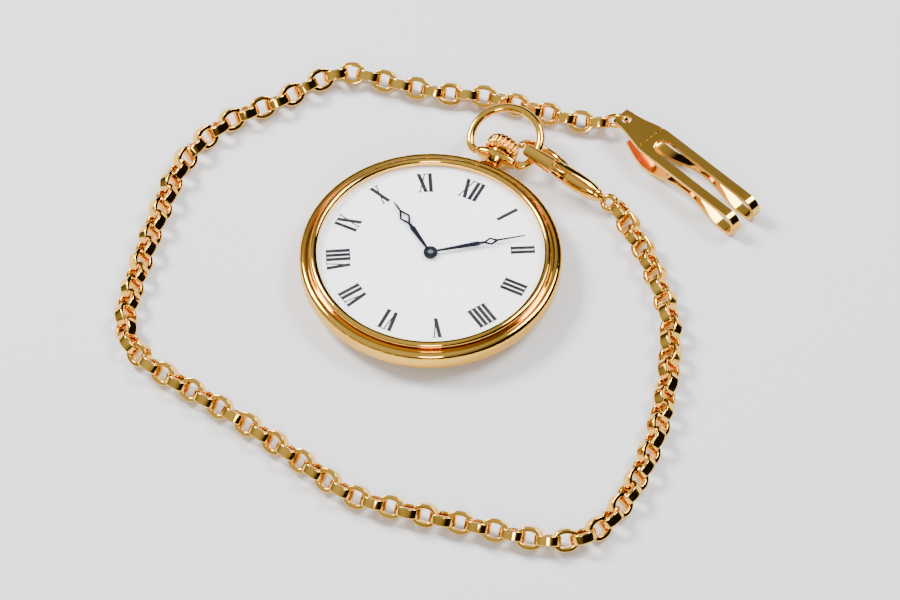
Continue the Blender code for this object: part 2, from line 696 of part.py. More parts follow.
def make_dial(enamel):
    """The white dial, with a hole for the hour wheel's pipe."""
    outline = [
        (HOUR_PIPE + 0.25, DIAL_UNDERSIDE), (DIAL_RADIUS, DIAL_UNDERSIDE), (DIAL_RADIUS, DIAL_TOP),
        (HOUR_PIPE + 0.25, DIAL_TOP),
    ]
    add("dial", turned(outline, CASE_SIDES), enamel)


def hand_outline(length, hub, opening):
    """A slim baton that swells to an open diamond, from the hub to the tip, along +Y."""
    wide, middle = opening
    long = wide * 1.9
    right = [
        (0.22, hub * 0.8), (0.3, middle - long), (wide, middle), (0.22, middle + long),
        (0.1, length), (0, length + 0.1),
    ]
    left = [(-x, y) for x, y in reversed(right[:-1])]
    return right + left + arc((0, 0), hub, 120, 420, 14)


def make_hand(name, length, low, bore, opening, finish, minutes_per_turn):
    """A hand with a pierced diamond, turned to the time it shows at rest."""
    high = low + HAND_THICKNESS
    turn = -360 * (REST_MINUTES % minutes_per_turn) / minutes_per_turn
    outline = hand_outline(length, HAND_HUB, opening)
    hand = add(name, prism(outline, low, high), finish, turn=(0, 0, turn))
    cut(hand, disc(bore + FIT, low - 1, high + 1))
    wide, middle = opening
    inner = wide - 0.3
    hole = [(0, middle - inner * 1.7), (inner, middle), (0, middle + inner * 1.7), (-inner, middle)]
    cut(hand, prism(hole, low - 1, high + 1))


def make_motion_work(steel, gilt):
    """The cannon pinion, the minute wheel with its pinion, the hour wheel and the setting wheel."""
    low, high = MOTION_LAYER
    top = MINUTE_HAND_LOW + HAND_THICKNESS
    cannon = add("cannon_pinion", prism(toothed(CANNON_LEAVES, MOTION_MODULE), low, high), steel)
    fuse(cannon, disc(CANNON_PIPE, low + 0.03, top, PIVOT_SIDES))
    cut(cannon, disc(CENTRE_ARBOR + RUNNING, low - 1, top - 0.3, PIVOT_SIDES))
    phase = mesh_phase(CENTRE_PLACE, CANNON_LEAVES, 0, MINUTE_PLACE, MINUTE_WHEEL_TEETH)
    minute = toothed(MINUTE_WHEEL_TEETH, MOTION_MODULE, phase)
    wheel = add("minute_wheel", prism(minute, low, high), gilt, (*MINUTE_PLACE, 0))
    fuse(wheel, prism(toothed(MINUTE_PINION_LEAVES, MOTION_MODULE), low + 0.03, HOUR_LAYER[1]))
    cut(wheel, disc(STUD_RADIUS + RUNNING, low - 1, high + 1, PIVOT_SIDES))
    hour_phase = mesh_phase(MINUTE_PLACE, MINUTE_PINION_LEAVES, 0, CENTRE_PLACE, HOUR_TEETH)
    hour = add("hour_wheel", prism(toothed(HOUR_TEETH, MOTION_MODULE, hour_phase), *HOUR_LAYER), gilt)
    fuse(hour, disc(HOUR_PIPE, HOUR_LAYER[0] + 0.03, HOUR_HAND_LOW + HAND_THICKNESS, PIVOT_SIDES))
    cut(hour, disc(CANNON_PIPE + RUNNING, 0, BEZEL_TOP, PIVOT_SIDES))
    phase = mesh_phase(MINUTE_PLACE, MINUTE_WHEEL_TEETH, phase, SETTING_PLACE, SETTING_TEETH)
    setting = toothed(SETTING_TEETH, MOTION_MODULE, phase)
    wheel = add("setting_wheel", prism(setting, low, high), steel, (*SETTING_PLACE, 0))
    cut(wheel, disc(STUD_RADIUS + RUNNING, low - 1, high + 1, PIVOT_SIDES))


# ---------------------------------------------------------------- movement


def make_mainplate(nickel):
    """The plate that carries the whole movement, pierced for every arbor and for the stem."""
    plate = add("mainplate", disc(MOVEMENT_RADIUS, PLATE_LOW, PLATE_HIGH, CASE_SIDES), nickel)
    wide = WINDING_PINION_RADIUS + 0.25
    low, high = PLATE_LOW - 1, PLATE_HIGH + 1
    cut(plate, box((-wide, STEM_INNER_END - 0.4, low), (wide, MOVEMENT_RADIUS + 1, high)))
    drill(plate, CENTRE_PLACE, CENTRE_ARBOR + RUNNING, low, high)
    for place in (THIRD_PLACE, FOURTH_PLACE, ESCAPE_PLACE, PALLET_PLACE, BALANCE_PLACE, BARREL_PLACE):
        drill(plate, place, PIVOT_RADIUS + RUNNING, low, PLATE_LOW + PIVOT_LENGTH + FIT)
    foot = PLATE_HIGH - STUD_FOOT
    for place in (MINUTE_PLACE, SETTING_PLACE):
        fuse(plate, prism(circle(STUD_RADIUS, PIVOT_SIDES, place), foot, MOTION_LAYER[1]))
    for place in (SETTING_LEVER_PLACE, YOKE_PLACE):
        stud = circle(LEVER_BORE - RUNNING, PIVOT_SIDES, place)
        fuse(plate, prism(stud, foot, MOTION_LAYER[0] + LEVER_THICKNESS))


def arbor(low, high, radius):
    """A turned arbor with a pivot at each end."""
    return turned([
        (0, low - PIVOT_LENGTH), (PIVOT_RADIUS, low - PIVOT_LENGTH), (PIVOT_RADIUS, low),
        (radius, low), (radius, high), (PIVOT_RADIUS, high), (PIVOT_RADIUS, high + PIVOT_LENGTH),
        (0, high + PIVOT_LENGTH),
    ], PIVOT_SIDES)


def wheel_on_pinion(name, place, plate_outline, layer, pinion, span, finish):
    """A train wheel and its pinion on one arbor that runs from bridge to mainplate."""
    wheel = add(name, prism(plate_outline, *layer), finish, (*place, 0))
    fuse(wheel, prism(pinion, *span))
    fuse(wheel, arbor(BRIDGE_HIGH + RUNNING, PLATE_LOW - RUNNING, ARBOR_RADIUS))
    return wheel


def make_train(gilt, steel):
    """The barrel, the going train and the escape wheel, each in mesh with the one before."""
    centre_phase = mesh_phase(BARREL_PLACE, BARREL_TEETH, 0, CENTRE_PLACE, CENTRE_PINION_LEAVES)
    centre = add("centre_wheel", prism(toothed(CENTRE_TEETH, CENTRE_MODULE), *CENTRE_LAYER), gilt)
    leaves = toothed(CENTRE_PINION_LEAVES, BARREL_MODULE, centre_phase)
    fuse(centre, prism(leaves, CENTRE_LAYER[1] - 0.05, PLATE_LOW - RUNNING))
    fuse(centre, disc(CENTRE_ARBOR, BRIDGE_HIGH + RUNNING, MINUTE_HAND_LOW - 0.25, PIVOT_SIDES))

    third_phase = mesh_phase(CENTRE_PLACE, CENTRE_TEETH, 0, THIRD_PLACE, THIRD_PINION_LEAVES)
    wheel_on_pinion(
        "third_wheel", THIRD_PLACE, toothed(THIRD_TEETH, THIRD_MODULE), THIRD_LAYER,
        toothed(THIRD_PINION_LEAVES, CENTRE_MODULE, third_phase),
        (BRIDGE_HIGH + RUNNING + 0.02, THIRD_LAYER[0] + 0.05), gilt,
    )
    fourth_phase = mesh_phase(THIRD_PLACE, THIRD_TEETH, 0, FOURTH_PLACE, FOURTH_PINION_LEAVES)
    wheel_on_pinion(
        "fourth_wheel", FOURTH_PLACE, toothed(FOURTH_TEETH, FOURTH_MODULE), FOURTH_LAYER,
        toothed(FOURTH_PINION_LEAVES, THIRD_MODULE, fourth_phase),
        (FOURTH_LAYER[1] - 0.05, PLATE_LOW - RUNNING - 0.02), gilt,
    )
    escape_phase = mesh_phase(FOURTH_PLACE, FOURTH_TEETH, 0, ESCAPE_PLACE, ESCAPE_PINION_LEAVES)
    wheel_on_pinion(
        "escape_wheel", ESCAPE_PLACE, club_teeth(), ESCAPE_LAYER,
        toothed(ESCAPE_PINION_LEAVES, FOURTH_MODULE, escape_phase),
        (BRIDGE_HIGH + RUNNING + 0.02, ESCAPE_LAYER[0] + 0.05), steel,
    )


def club_teeth():
    """The escape wheel's outline: raked teeth with broad ends."""
    points = []
    step = 2 * pi / ESCAPE_TEETH
    for tooth in range(ESCAPE_TEETH):
        for share, radius in ((0.0, 0.72), (0.42, 0.74), (0.5, 1.0), (0.68, 0.96)):
            angle = step * (tooth + share)
            points.append((ESCAPE_RADIUS * radius * cos(angle), ESCAPE_RADIUS * radius * sin(angle)))
    return points


def make_barrel(gilt, steel):
    """The going barrel: toothed drum, cover, coiled mainspring and arbor with its ratchet."""
    low, high = BARREL_LAYER
    wall = BARREL_TEETH * BARREL_MODULE / 2 - 0.75
    place = (*BARREL_PLACE, 0)
    teeth = toothed(BARREL_TEETH, BARREL_MODULE)
    drum = add("barrel_drum", prism(teeth, high - 0.3, high), gilt, place)
    fuse(drum, disc(wall, low + COVER_THICKNESS + FIT, high - 0.1, ROUND_SIDES))
    cut(drum, disc(wall - 0.3, 0, high - 0.15, ROUND_SIDES))
    cut(drum, disc(BARREL_ARBOR + RUNNING, low, high + 1))
    cover = ring(BARREL_ARBOR + RUNNING, wall, low, low + COVER_THICKNESS, ROUND_SIDES)
    add("barrel_cover", cover, gilt, place)
    heights = (low + COVER_THICKNESS + 0.1, high - 0.22)
    coil = spiral(BARREL_ARBOR + 1.0, wall - 0.5, 6, 0.2, *heights, 12)
    add("mainspring", coil, steel, place)
    outline = [
        (0, RATCHET_LAYER[0]), (ARBOR_SQUARE, RATCHET_LAYER[0]), (ARBOR_SQUARE, BRIDGE_HIGH),
        (BARREL_ARBOR, BRIDGE_HIGH + RUNNING), (BARREL_ARBOR, PLATE_LOW - RUNNING / 2),
        (PIVOT_RADIUS, PLATE_LOW - RUNNING / 2), (PIVOT_RADIUS, PLATE_LOW + PIVOT_LENGTH),
        (0, PLATE_LOW + PIVOT_LENGTH),
    ]
    add("barrel_arbor", turned(outline, PIVOT_SIDES), steel, place)
    crown_teeth = toothed(CROWN_WHEEL_TEETH, WINDING_MODULE)
    crown = add("crown_wheel", prism(crown_teeth, *RATCHET_LAYER), steel, (*CROWN_WHEEL_PLACE, 0))
    skirt = CROWN_WHEEL_TEETH * WINDING_MODULE / 2
    fuse(crown, ring(skirt - 0.8, skirt - 0.1, RATCHET_LAYER[0] + 0.1, CROWN_SKIRT_TOP))
    cut(crown, disc(CROWN_HUB + RUNNING, 0, 2))
    phase = mesh_phase(CROWN_WHEEL_PLACE, CROWN_WHEEL_TEETH, 0, BARREL_PLACE, RATCHET_TEETH)
    teeth = toothed(RATCHET_TEETH, WINDING_MODULE, phase)
    ratchet = add("ratchet_wheel", prism(teeth, *RATCHET_LAYER), steel, place)
    cut(ratchet, disc(ARBOR_SQUARE + FIT / 2, 0, 2, PIVOT_SIDES))
    return phase


def spiral(inner, outer, turns, thickness, low, high, steps_per_turn):
    """A flat coiled ribbon between two radii."""
    count = turns * steps_per_turn
    outside, inside = [], []
    for step in range(count + 1):
        angle = 2 * pi * step / steps_per_turn
        radius = inner + (outer - inner) * step / count
        outside.append(((radius + thickness / 2) * cos(angle), (radius + thickness / 2) * sin(angle)))
        inside.append(((radius - thickness / 2) * cos(angle), (radius - thickness / 2) * sin(angle)))
    return strip(outside, inside, low, high)


def strip(first, second, low, high):
    """A ribbon with straight walls between two lines of points."""
    mesh = bmesh.new()
    rows = []
    for (x0, y0), (x1, y1) in zip(first, second):
        corners = ((x0, y0, low), (x1, y1, low), (x1, y1, high), (x0, y0, high))
        rows.append([mesh.verts.new(Vector(corner) * MM) for corner in corners])
    for row, following in zip(rows, rows[1:]):
        for side in range(4):
            beside = (side + 1) % 4
            mesh.faces.new((row[side], row[beside], following[beside], following[side]))
    mesh.faces.new(rows[0])
    mesh.faces.new(rows[-1])
    bmesh.ops.recalc_face_normals(mesh, faces=mesh.faces)
    return mesh


def make_click(steel, ratchet_phase):
    """The click, with its tip between two ratchet teeth, and the wire spring that holds it there."""
    root = RATCHET_TEETH * WINDING_MODULE / 2 - 1.25 * WINDING_MODULE
    pitch = 2 * pi / RATCHET_TEETH
    gap = ratchet_phase + pitch * (round((radians(205) - ratchet_phase) / pitch - 0.5) + 0.5)
    tip = place_at(BARREL_PLACE, root + CLICK_CLEARANCE, degrees(gap))
    pivot = CLICK_PLACE
    low, high = RATCHET_LAYER
    reach = (tip[0] - pivot[0], tip[1] - pivot[1])
    length = hypot(*reach)
    along = (reach[0] / length, reach[1] / length)
    across = (-along[1], along[0])
    outline = []
    beak = ((0.6, 0.55), (length - 0.75, 0.36), (length, 0), (length - 0.75, -0.36), (0.6, -0.55))
    for run, side in beak:
        outline.append((along[0] * run + across[0] * side, along[1] * run + across[1] * side))
    heading = degrees(atan2(along[1], along[0]))
    outline += arc((0, 0), 0.85, heading - 60, heading - 300, 10)
    click = add("click", prism(outline, low, high), steel, (*pivot, 0))
    cut(click, disc(CLICK_STUD + RUNNING, low - 1, high + 1, PIVOT_SIDES))
    start = (pivot[0] - 0.5, pivot[1] - 1.6)
    points = arc(start, 1.6, 250, 120, 8)
    outer = arc(start, 1.75, 250, 120, 8)
    add("click_spring", strip(outer, points, low, high), steel)


def bridge(name, outline, layer, posts, finish):
    """A flat bridge with round posts that stand on the mainplate."""
    plate = add(name, prism(outline, *layer), finish)
    for place in posts:
        fuse(plate, prism(circle(POST_RADIUS, 16, place), layer[0] + 0.05, PLATE_LOW - FIT / 2))
        drill(plate, place, SCREW_RADIUS + FIT, layer[0] - 1, layer[0] + SCREW_LENGTH + FIT)
    return plate


def make_bridges(nickel):
    """The barrel bridge, train bridge, pallet bridge and balance cock."""
    edge = MOVEMENT_RADIUS - 1.2
    upper = arc((0, 0), edge, 28, 201, 20) + [(-9.2, -2.2), (-2.2, 1.6), (1.2, 2.6), (4.6, 8.2)]
    barrel = bridge("barrel_bridge", upper, (BRIDGE_LOW, BRIDGE_HIGH), BARREL_POSTS, nickel)
    well = CROWN_WHEEL_TEETH * WINDING_MODULE / 2 + 0.1
    drill(barrel, CROWN_WHEEL_PLACE, well, 0, 3, ROUND_SIDES)
    add_crown_wheel_hub(barrel, well)
    fuse(barrel, prism(circle(CLICK_STUD, PIVOT_SIDES, CLICK_PLACE), RATCHET_LAYER[0], BRIDGE_LOW + 0.1))
    drill(barrel, BARREL_PLACE, ARBOR_SQUARE + RUNNING, 0, 3)
    lower = arc((0, 0), edge, 22, -18, 6)
    lower += [(9.6, -5.2), (5.6, -4.4), (-2.0, -2.6), (-2.2, 0.9), (1.7, 1.9), (5.2, 7.0)]
    train = bridge("train_bridge", lower, (BRIDGE_LOW, BRIDGE_HIGH), TRAIN_POSTS, nickel)
    drill(train, CENTRE_PLACE, CENTRE_ARBOR + RUNNING, 0, BRIDGE_LOW + 0.1)
    for place in (THIRD_PLACE, FOURTH_PLACE, ESCAPE_PLACE):
        drill(train, place, PIVOT_RADIUS + RUNNING, BRIDGE_HIGH - PIVOT_LENGTH + 0.05, 3)
    cock_outline = link_plate([BALANCE_PLACE, COCK_POST], [1.9, 1.45], 6)
    cock = bridge("balance_cock", cock_outline, (COCK_LOW, COCK_HIGH), [COCK_POST], nickel)
    drill(cock, BALANCE_PLACE, JEWEL_RADIUS + FIT / 2, COCK_LOW - 1, COCK_HIGH + 1)
    stud = (BALANCE_PLACE[0] + HAIRSPRING_RADIUS + 0.25, BALANCE_PLACE[1])
    fuse(cock, prism(circle(0.2, PIVOT_SIDES, stud), COCK_HIGH - STUD_FOOT, HAIRSPRING_LAYER[1]))
    low, high = PALLET_BRIDGE_LAYER
    bar = link_plate([PALLET_PLACE, PALLET_POST], [0.7, 0.95])
    pallet = add("pallet_bridge", prism(bar, low, high), nickel)
    fuse(pallet, prism(circle(0.7, 12, PALLET_POST), low + 0.05, PLATE_LOW - FIT / 2))
    drill(pallet, PALLET_PLACE, PIVOT_RADIUS + RUNNING, high - PIVOT_LENGTH, 3)


def add_crown_wheel_hub(barrel, well):
    """The crown wheel's hub, on a bar that crosses under its skirt from one side of the well to the other."""
    x, y = CROWN_WHEEL_PLACE
    low = CROWN_SKIRT_TOP + RUNNING
    high = low + HUB_BAR
    span = well + 0.7
    fuse(barrel, box((x - span, y - 0.5, low), (x + span, y + 0.5, high)))
    for side in (-1, 1):
        near, far = sorted((x + side * (well + 0.15), x + side * span))
        fuse(barrel, box((near, y - 0.5, BRIDGE_HIGH - 0.1), (far, y + 0.5, high - 0.02)))
    fuse(barrel, prism(circle(CROWN_HUB, ROUND_SIDES, (x, y)), RATCHET_LAYER[0], low + 0.1))


def make_screws(steel):
    """A slotted screw at each post, one solid in each node."""
    places = {}
    for number, place in enumerate(BARREL_POSTS, 1):
        places[f"barrel_bridge_screw_{number}"] = (place, BRIDGE_LOW)
    for number, place in enumerate(TRAIN_POSTS, 1):
        places[f"train_bridge_screw_{number}"] = (place, BRIDGE_LOW)
    places["balance_cock_screw"] = (COCK_POST, COCK_LOW)
    for name, (place, seat) in places.items():
        head = min(SCREW_HEAD, seat - BACK_WALL - 0.06)
        outline = [
            (0, seat - head), (SCREW_RADIUS * 2, seat - head), (SCREW_RADIUS * 2, seat - FIT / 2),
            (SCREW_RADIUS, seat - FIT / 2), (SCREW_RADIUS, seat + SCREW_LENGTH), (0, seat + SCREW_LENGTH),
        ]
        add(name, turned(outline, PIVOT_SIDES), steel, (*place, 0))


def make_balance(gilt, steel, blued, ruby):
    """The balance wheel on its staff, the hairspring, the pallet fork, the regulator and a jewel."""
    low, high = BALANCE_LAYER
    place = (*BALANCE_PLACE, 0)
    rim = ring(BALANCE_RADIUS - 0.5, BALANCE_RADIUS, low, high)
    wheel = add("balance_wheel", rim, gilt, place)
    long = BALANCE_RADIUS - 0.2
    fuse(wheel, box((-long, -0.3, low + 0.05), (long, 0.3, high - 0.05)))
    fuse(wheel, disc(0.8, low + 0.02, high - 0.02, ROUND_SIDES))
    cut(wheel, disc(STAFF_RADIUS + FIT / 2, low - 1, high + 1, PIVOT_SIDES))
    staff = arbor(COCK_HIGH + RUNNING, PLATE_LOW - RUNNING, STAFF_RADIUS)
    fuse(add("balance_staff", staff, steel, place), disc(0.75, high + 0.1, high + 0.24, ROUND_SIDES))
    add("hairspring", spiral(0.9, HAIRSPRING_RADIUS, 5, 0.06, *HAIRSPRING_LAYER, 12), blued, place)
    reach = (BALANCE_PLACE[0] - PALLET_PLACE[0], BALANCE_PLACE[1] - PALLET_PLACE[1])
    share = 1 - 0.95 / hypot(*reach)
    tail = (reach[0] * share, reach[1] * share)
    back = (ESCAPE_PLACE[0] - PALLET_PLACE[0], ESCAPE_PLACE[1] - PALLET_PLACE[1])
    side = (-back[1] * 0.5, back[0] * 0.5)
    lever = prism(link_plate([(0, 0), tail], [0.42, 0.16]), *ESCAPE_LAYER)
    fork = add("pallet_fork", lever, steel, (*PALLET_PLACE, 0))
    for sign in (-1, 1):
        arm = link_plate([(0, 0), (side[0] * sign, side[1] * sign)], [0.4, 0.2])
        fuse(fork, prism(arm, ESCAPE_LAYER[0] + 0.01, ESCAPE_LAYER[1] - 0.01))
    fuse(fork, arbor(PALLET_BRIDGE_LAYER[1] + RUNNING, PLATE_LOW - RUNNING, 0.22))
    jewel = ring(PIVOT_RADIUS + RUNNING, JEWEL_RADIUS, COCK_LOW + 0.02, COCK_HIGH - 0.02, PIVOT_SIDES)
    add("balance_jewel", jewel, ruby, place)
    regulator_low = BACK_WALL + 0.03
    regulator = link_plate([(0, 0), (-2.6, -1.6)], [1.2, 0.2])
    pointer = add("regulator", prism(regulator, regulator_low, COCK_LOW - 0.03), steel, place)
    cut(pointer, disc(JEWEL_RADIUS, regulator_low - 1, COCK_LOW + 1, PIVOT_SIDES))


# ---------------------------------------------------------------- clasp, chain and pocket clip


def make_clasp(finish, steel):
    """The swivel clasp: hook and barrel, sprung lever, its pin and spring, and the swivel ring."""
    frame = bpy.data.objects.new("clasp_frame", None)
    frame.location = Vector(CLASP_NOSE) * MM
    frame.rotation_euler = Euler([radians(angle) for angle in CLASP_TURN])
    bpy.context.scene.collection.objects.link(frame)
    along = (0, 90, 0)

    start, end, wide = CLASP_BARREL_START, CLASP_BARREL_END, CLASP_BARREL_RADIUS
    pivot_u, pivot_v = CLASP_PIVOT
    outline = [
        (0, start), (0.85, start), (1.3, start + 1.0), (wide, start + 3.0), (wide, start + 6.0),
        (wide - 0.2, end - 1.3), (0.95, end - 0.2), (0.8, end), (0, end),
    ]
    body = add("clasp_body", turned(outline, 16), finish, parent=frame)
    body.rotation_euler = Euler([radians(angle) for angle in along])
    half = CLASP_LEVER_HALF_WIDTH + RUNNING
    notch = box((start - 2, -3, -half), (pivot_u + 1.1, 0.85, half))
    slot = box((pivot_u + 1.0, -0.95, -half), (end - 1.2, 3, half))
    hook = [
        (pivot_u + 0.6, 1.45, 0), (pivot_u - 0.1, 2.4, 0), (6.5, 3.65, 0), (4.8, 4.7, 0), (3.0, 4.95, 0),
        (1.25, 4.2, 0), (0.2, 2.6, 0), (-0.05, 1.1, 0), (-0.05, 0.0, 0),
    ]
    line = smooth_curve(hook, 16)
    wire = rod(line, [CLASP_WIRE] * len(line), WIRE_SIDES)
    for tool in (cut(body, notch), cut(body, slot), fuse(body, wire)):
        tool.rotation_euler = (0, 0, 0)
    tool = cut(body, prism(circle(PIN_RADIUS + RUNNING, PIVOT_SIDES, CLASP_PIVOT), -3, 3))
    tool.rotation_euler = (0, 0, 0)
    cut(body, disc(SWIVEL_POST + RUNNING, end - SWIVEL_DEPTH, end + 1, PIVOT_SIDES))

    low, high = -CLASP_LEVER_HALF_WIDTH, CLASP_LEVER_HALF_WIDTH
    nose = GATE_NOSE - pivot_u
    lever = [
        (nose, -0.5), (nose + 0.6, -0.75), (-1.0, -0.85), (0.2, -0.8), (1.1, -0.35), (5.2, 1.35),
        (5.9, 1.75), (5.7, 2.25), (5.1, 2.2), (1.0, 0.6), (-0.2, 0.78), (-1.0, 0.45), (nose + 0.5, 0.3),
        (nose, 0.1),
    ]
    trigger = add("clasp_trigger", prism(lever, low, high), finish, (pivot_u, pivot_v, 0), parent=frame)
    cut(trigger, disc(PIN_RADIUS + RUNNING, low - 1, high + 1, PIVOT_SIDES))
    pin = disc(PIN_RADIUS, -PIN_HALF_LENGTH, PIN_HALF_LENGTH, PIVOT_SIDES)
    add("clasp_pin", pin, finish, (pivot_u, pivot_v, 0), parent=frame)
    leaf = [(pivot_u + 1.2, -0.9), (end - 1.4, -0.9), (end - 1.4, -0.78), (pivot_u + 1.2, -0.78)]
    add("clasp_spring", prism(leaf, low, high), steel, parent=frame)

    ring_centre = end + SWIVEL_RING_RADIUS + SWIVEL_WIRE + SWIVEL_NECK
    loop = [(x, 0, z) for x, z in circle(SWIVEL_RING_RADIUS, 16)]
    eye = rod(loop, [SWIVEL_WIRE] * len(loop), WIRE_SIDES, closed=True)
    swivel = add("clasp_swivel", eye, finish, (ring_centre, 0, 0), along, frame)
    foot = end - SWIVEL_DEPTH + FIT - ring_centre
    fuse(swivel, disc(SWIVEL_POST, foot, 0.15 - SWIVEL_RING_RADIUS, PIVOT_SIDES))


def make_chain(finish):
    """The chain's envelope: a round tube along the route that its links take."""
    height = CHAIN_DIAMETER / 2
    line = bpy.data.curves.new("chain", "CURVE")
    line.dimensions = "3D"
    line.bevel_depth = CHAIN_DIAMETER / 2 * MM
    line.bevel_resolution = 2
    line.use_fill_caps = True
    route = smooth_curve([(x, y, height) for x, y in CHAIN_ROUTE], CHAIN_STATIONS)
    spline = line.splines.new("POLY")
    spline.points.add(len(route) - 1)
    for point, place in zip(spline.points, route):
        point.co = (*(place * MM), 1)
    line.materials.append(finish)
    bpy.context.scene.collection.objects.link(bpy.data.objects.new("chain", line))


def clip_profile():
    """The pocket clip seen from its side: straight top, folded end and wavy spring leg."""
    top = CLIP_HEIGHT - CLIP_THICKNESS / 2
    low = CLIP_THICKNESS / 2
    bend = (top - low) / 2
    far = CLIP_LENGTH - bend
    upper = [(0, top), (far * 0.5, top), (far, top)]
    fold = arc((far, low + bend), bend, 90, -90, 10)[1:]
    leg = [
        (far * 0.92, low + 0.25), (far * 0.82, low + 1.4), (far * 0.73, low + 2.3),
        (far * 0.64, low + 2.45), (far * 0.55, low + 2.0), (far * 0.46, low + 1.0),
        (far * 0.38, low + 0.35), (far * 0.3, low + 0.35), (far * 0.2, low + 0.95),
        (far * 0.13, low + 1.6),
    ]
    return upper + fold + leg


def make_pocket_clip(finish):
    """The flat clip at the chain's end: one ribbon of gold, necked, slotted and folded back."""
    line = clip_profile()
    first, second = [], []
    half = CLIP_THICKNESS / 2
    for index, (x, z) in enumerate(line):
        x0, z0 = line[max(index - 1, 0)]
        x1, z1 = line[min(index + 1, len(line) - 1)]
        size = hypot(x1 - x0, z1 - z0)
        across = (-(z1 - z0) / size * half, (x1 - x0) / size * half)
        first.append((x + across[0], z + across[1]))
        second.append((x - across[0], z - across[1]))
    mesh = strip(first, second, -CLIP_WIDTH / 2, CLIP_WIDTH / 2)
    bmesh.ops.rotate(mesh, verts=mesh.verts, matrix=Euler((pi / 2, 0, 0)).to_matrix())
    clip = add("pocket_clip", mesh, finish, (*CLIP_PLACE, 0), (0, 0, CLIP_HEADING))
    shoulder = CLIP_LENGTH * 0.3
    tall = CLIP_HEIGHT + 1
    neck, wide = CLIP_NECK_WIDTH / 2, CLIP_WIDTH / 2
    straight = 1.2
    side = [(-1, neck), (straight, neck)]
    for share in (0.2, 0.4, 0.6, 0.8, 1.0):
        ease = (1 - cos(pi * share)) / 2
        side.append((straight + (shoulder - straight) * share, neck + (wide - neck) * ease))
    for sign in (-1, 1):
        waste = [(x, sign * y) for x, y in side]
        waste += [(shoulder, sign * (wide + 1)), (-1, sign * (wide + 1))]
        cut(clip, prism(waste, -1, tall))
    radius = CLIP_SLOT_WIDTH / 2
    slot = arc((CLIP_LENGTH * 0.29 + radius, 0), radius, 90, 270, 8)
    slot += [(CLIP_LENGTH + 1, -radius), (CLIP_LENGTH + 1, radius)]
    cut(clip, prism(slot, -1, tall))
    cut(clip, prism(circle(CLIP_EYE_RADIUS, 12, (CLIP_EYE_RADIUS + 0.7, 0)), -1, tall))


def main():
    """Clears the scene and builds the watch."""
    for item in list(bpy.data.objects):
        bpy.data.objects.remove(item, do_unlink=True)
    finish = make_materials()
    make_case_back(finish["gold"])
    make_case_middle(finish["gold"])
    make_bezel(finish["gold"])
    make_crystal(finish["glass"])
    make_pendant(finish["gold"])
    make_bow(finish["gold"])
    make_crown(finish["gold"])
    make_stem(finish["steel"])
    make_pinions(finish["steel"])
    make_levers(finish["steel"])
    make_dial(finish["enamel"])
    hour, minute = HAND_OPENINGS["hour"], HAND_OPENINGS["minute"]
    blued = finish["blued"]
    make_hand("hour_hand", HOUR_HAND_LENGTH, HOUR_HAND_LOW, HOUR_PIPE, hour, blued, 720)
    make_hand("minute_hand", MINUTE_HAND_LENGTH, MINUTE_HAND_LOW, CANNON_PIPE, minute, blued, 60)
    make_motion_work(finish["steel"], finish["gilt"])
    make_mainplate(finish["nickel"])
    make_train(finish["gilt"], finish["steel"])
    ratchet_phase = make_barrel(finish["gilt"], finish["steel"])
    make_click(finish["steel"], ratchet_phase)
    make_bridges(finish["nickel"])
    make_screws(finish["steel"])
    make_balance(finish["gilt"], finish["steel"], finish["blued"], finish["ruby"])
    make_clasp(finish["gold"], finish["steel"])
    make_chain(finish["gold"])
    make_pocket_clip(finish["gold"])


main()
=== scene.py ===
"""The finished surfaces of a slim gold pocket watch: case, dial, hands, bow, clasp, chain and clip.

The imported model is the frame: it gives the joints' places, and every piece here rides on its bodies.
Shapes are worked out in millimetres, each in a frame of its own, and MM turns them to metres.
"""

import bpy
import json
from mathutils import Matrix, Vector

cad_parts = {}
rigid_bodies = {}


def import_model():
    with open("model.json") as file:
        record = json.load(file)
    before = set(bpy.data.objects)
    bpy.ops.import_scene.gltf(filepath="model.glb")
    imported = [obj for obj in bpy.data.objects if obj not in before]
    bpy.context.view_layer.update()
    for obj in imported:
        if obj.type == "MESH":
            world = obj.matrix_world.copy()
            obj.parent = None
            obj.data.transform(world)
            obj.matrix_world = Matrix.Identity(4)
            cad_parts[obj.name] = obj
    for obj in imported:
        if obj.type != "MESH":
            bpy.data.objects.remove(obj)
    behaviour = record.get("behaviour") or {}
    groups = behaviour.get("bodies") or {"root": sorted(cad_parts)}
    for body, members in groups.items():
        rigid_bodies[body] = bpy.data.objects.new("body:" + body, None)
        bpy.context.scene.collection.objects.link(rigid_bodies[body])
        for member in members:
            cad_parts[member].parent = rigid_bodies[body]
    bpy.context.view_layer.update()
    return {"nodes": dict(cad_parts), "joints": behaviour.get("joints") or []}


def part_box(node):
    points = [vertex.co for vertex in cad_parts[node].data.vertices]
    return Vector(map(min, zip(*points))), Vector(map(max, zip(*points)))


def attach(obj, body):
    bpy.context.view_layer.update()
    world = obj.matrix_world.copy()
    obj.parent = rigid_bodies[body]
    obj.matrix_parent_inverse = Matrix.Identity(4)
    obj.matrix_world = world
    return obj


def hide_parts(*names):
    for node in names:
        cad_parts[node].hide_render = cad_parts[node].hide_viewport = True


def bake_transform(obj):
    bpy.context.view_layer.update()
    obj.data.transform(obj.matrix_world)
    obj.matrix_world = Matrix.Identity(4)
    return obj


bl_info = {
    "name": "Gold Pocket Watch",
    "version": (1, 0, 0),
    "blender": (4, 5, 0),
    "location": "View3D > Sidebar > Watch",
    "description": "Makes the finished pieces of an open-faced pocket watch with its chain",
    "category": "Object",
}

import json
from collections import namedtuple
from math import acos, copysign, cos, degrees, hypot, pi, radians, sin
from random import Random

import bmesh
import bpy
from bpy.props import FloatProperty, FloatVectorProperty, PointerProperty
from mathutils import Matrix, Vector

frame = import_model()
MM = 0.001

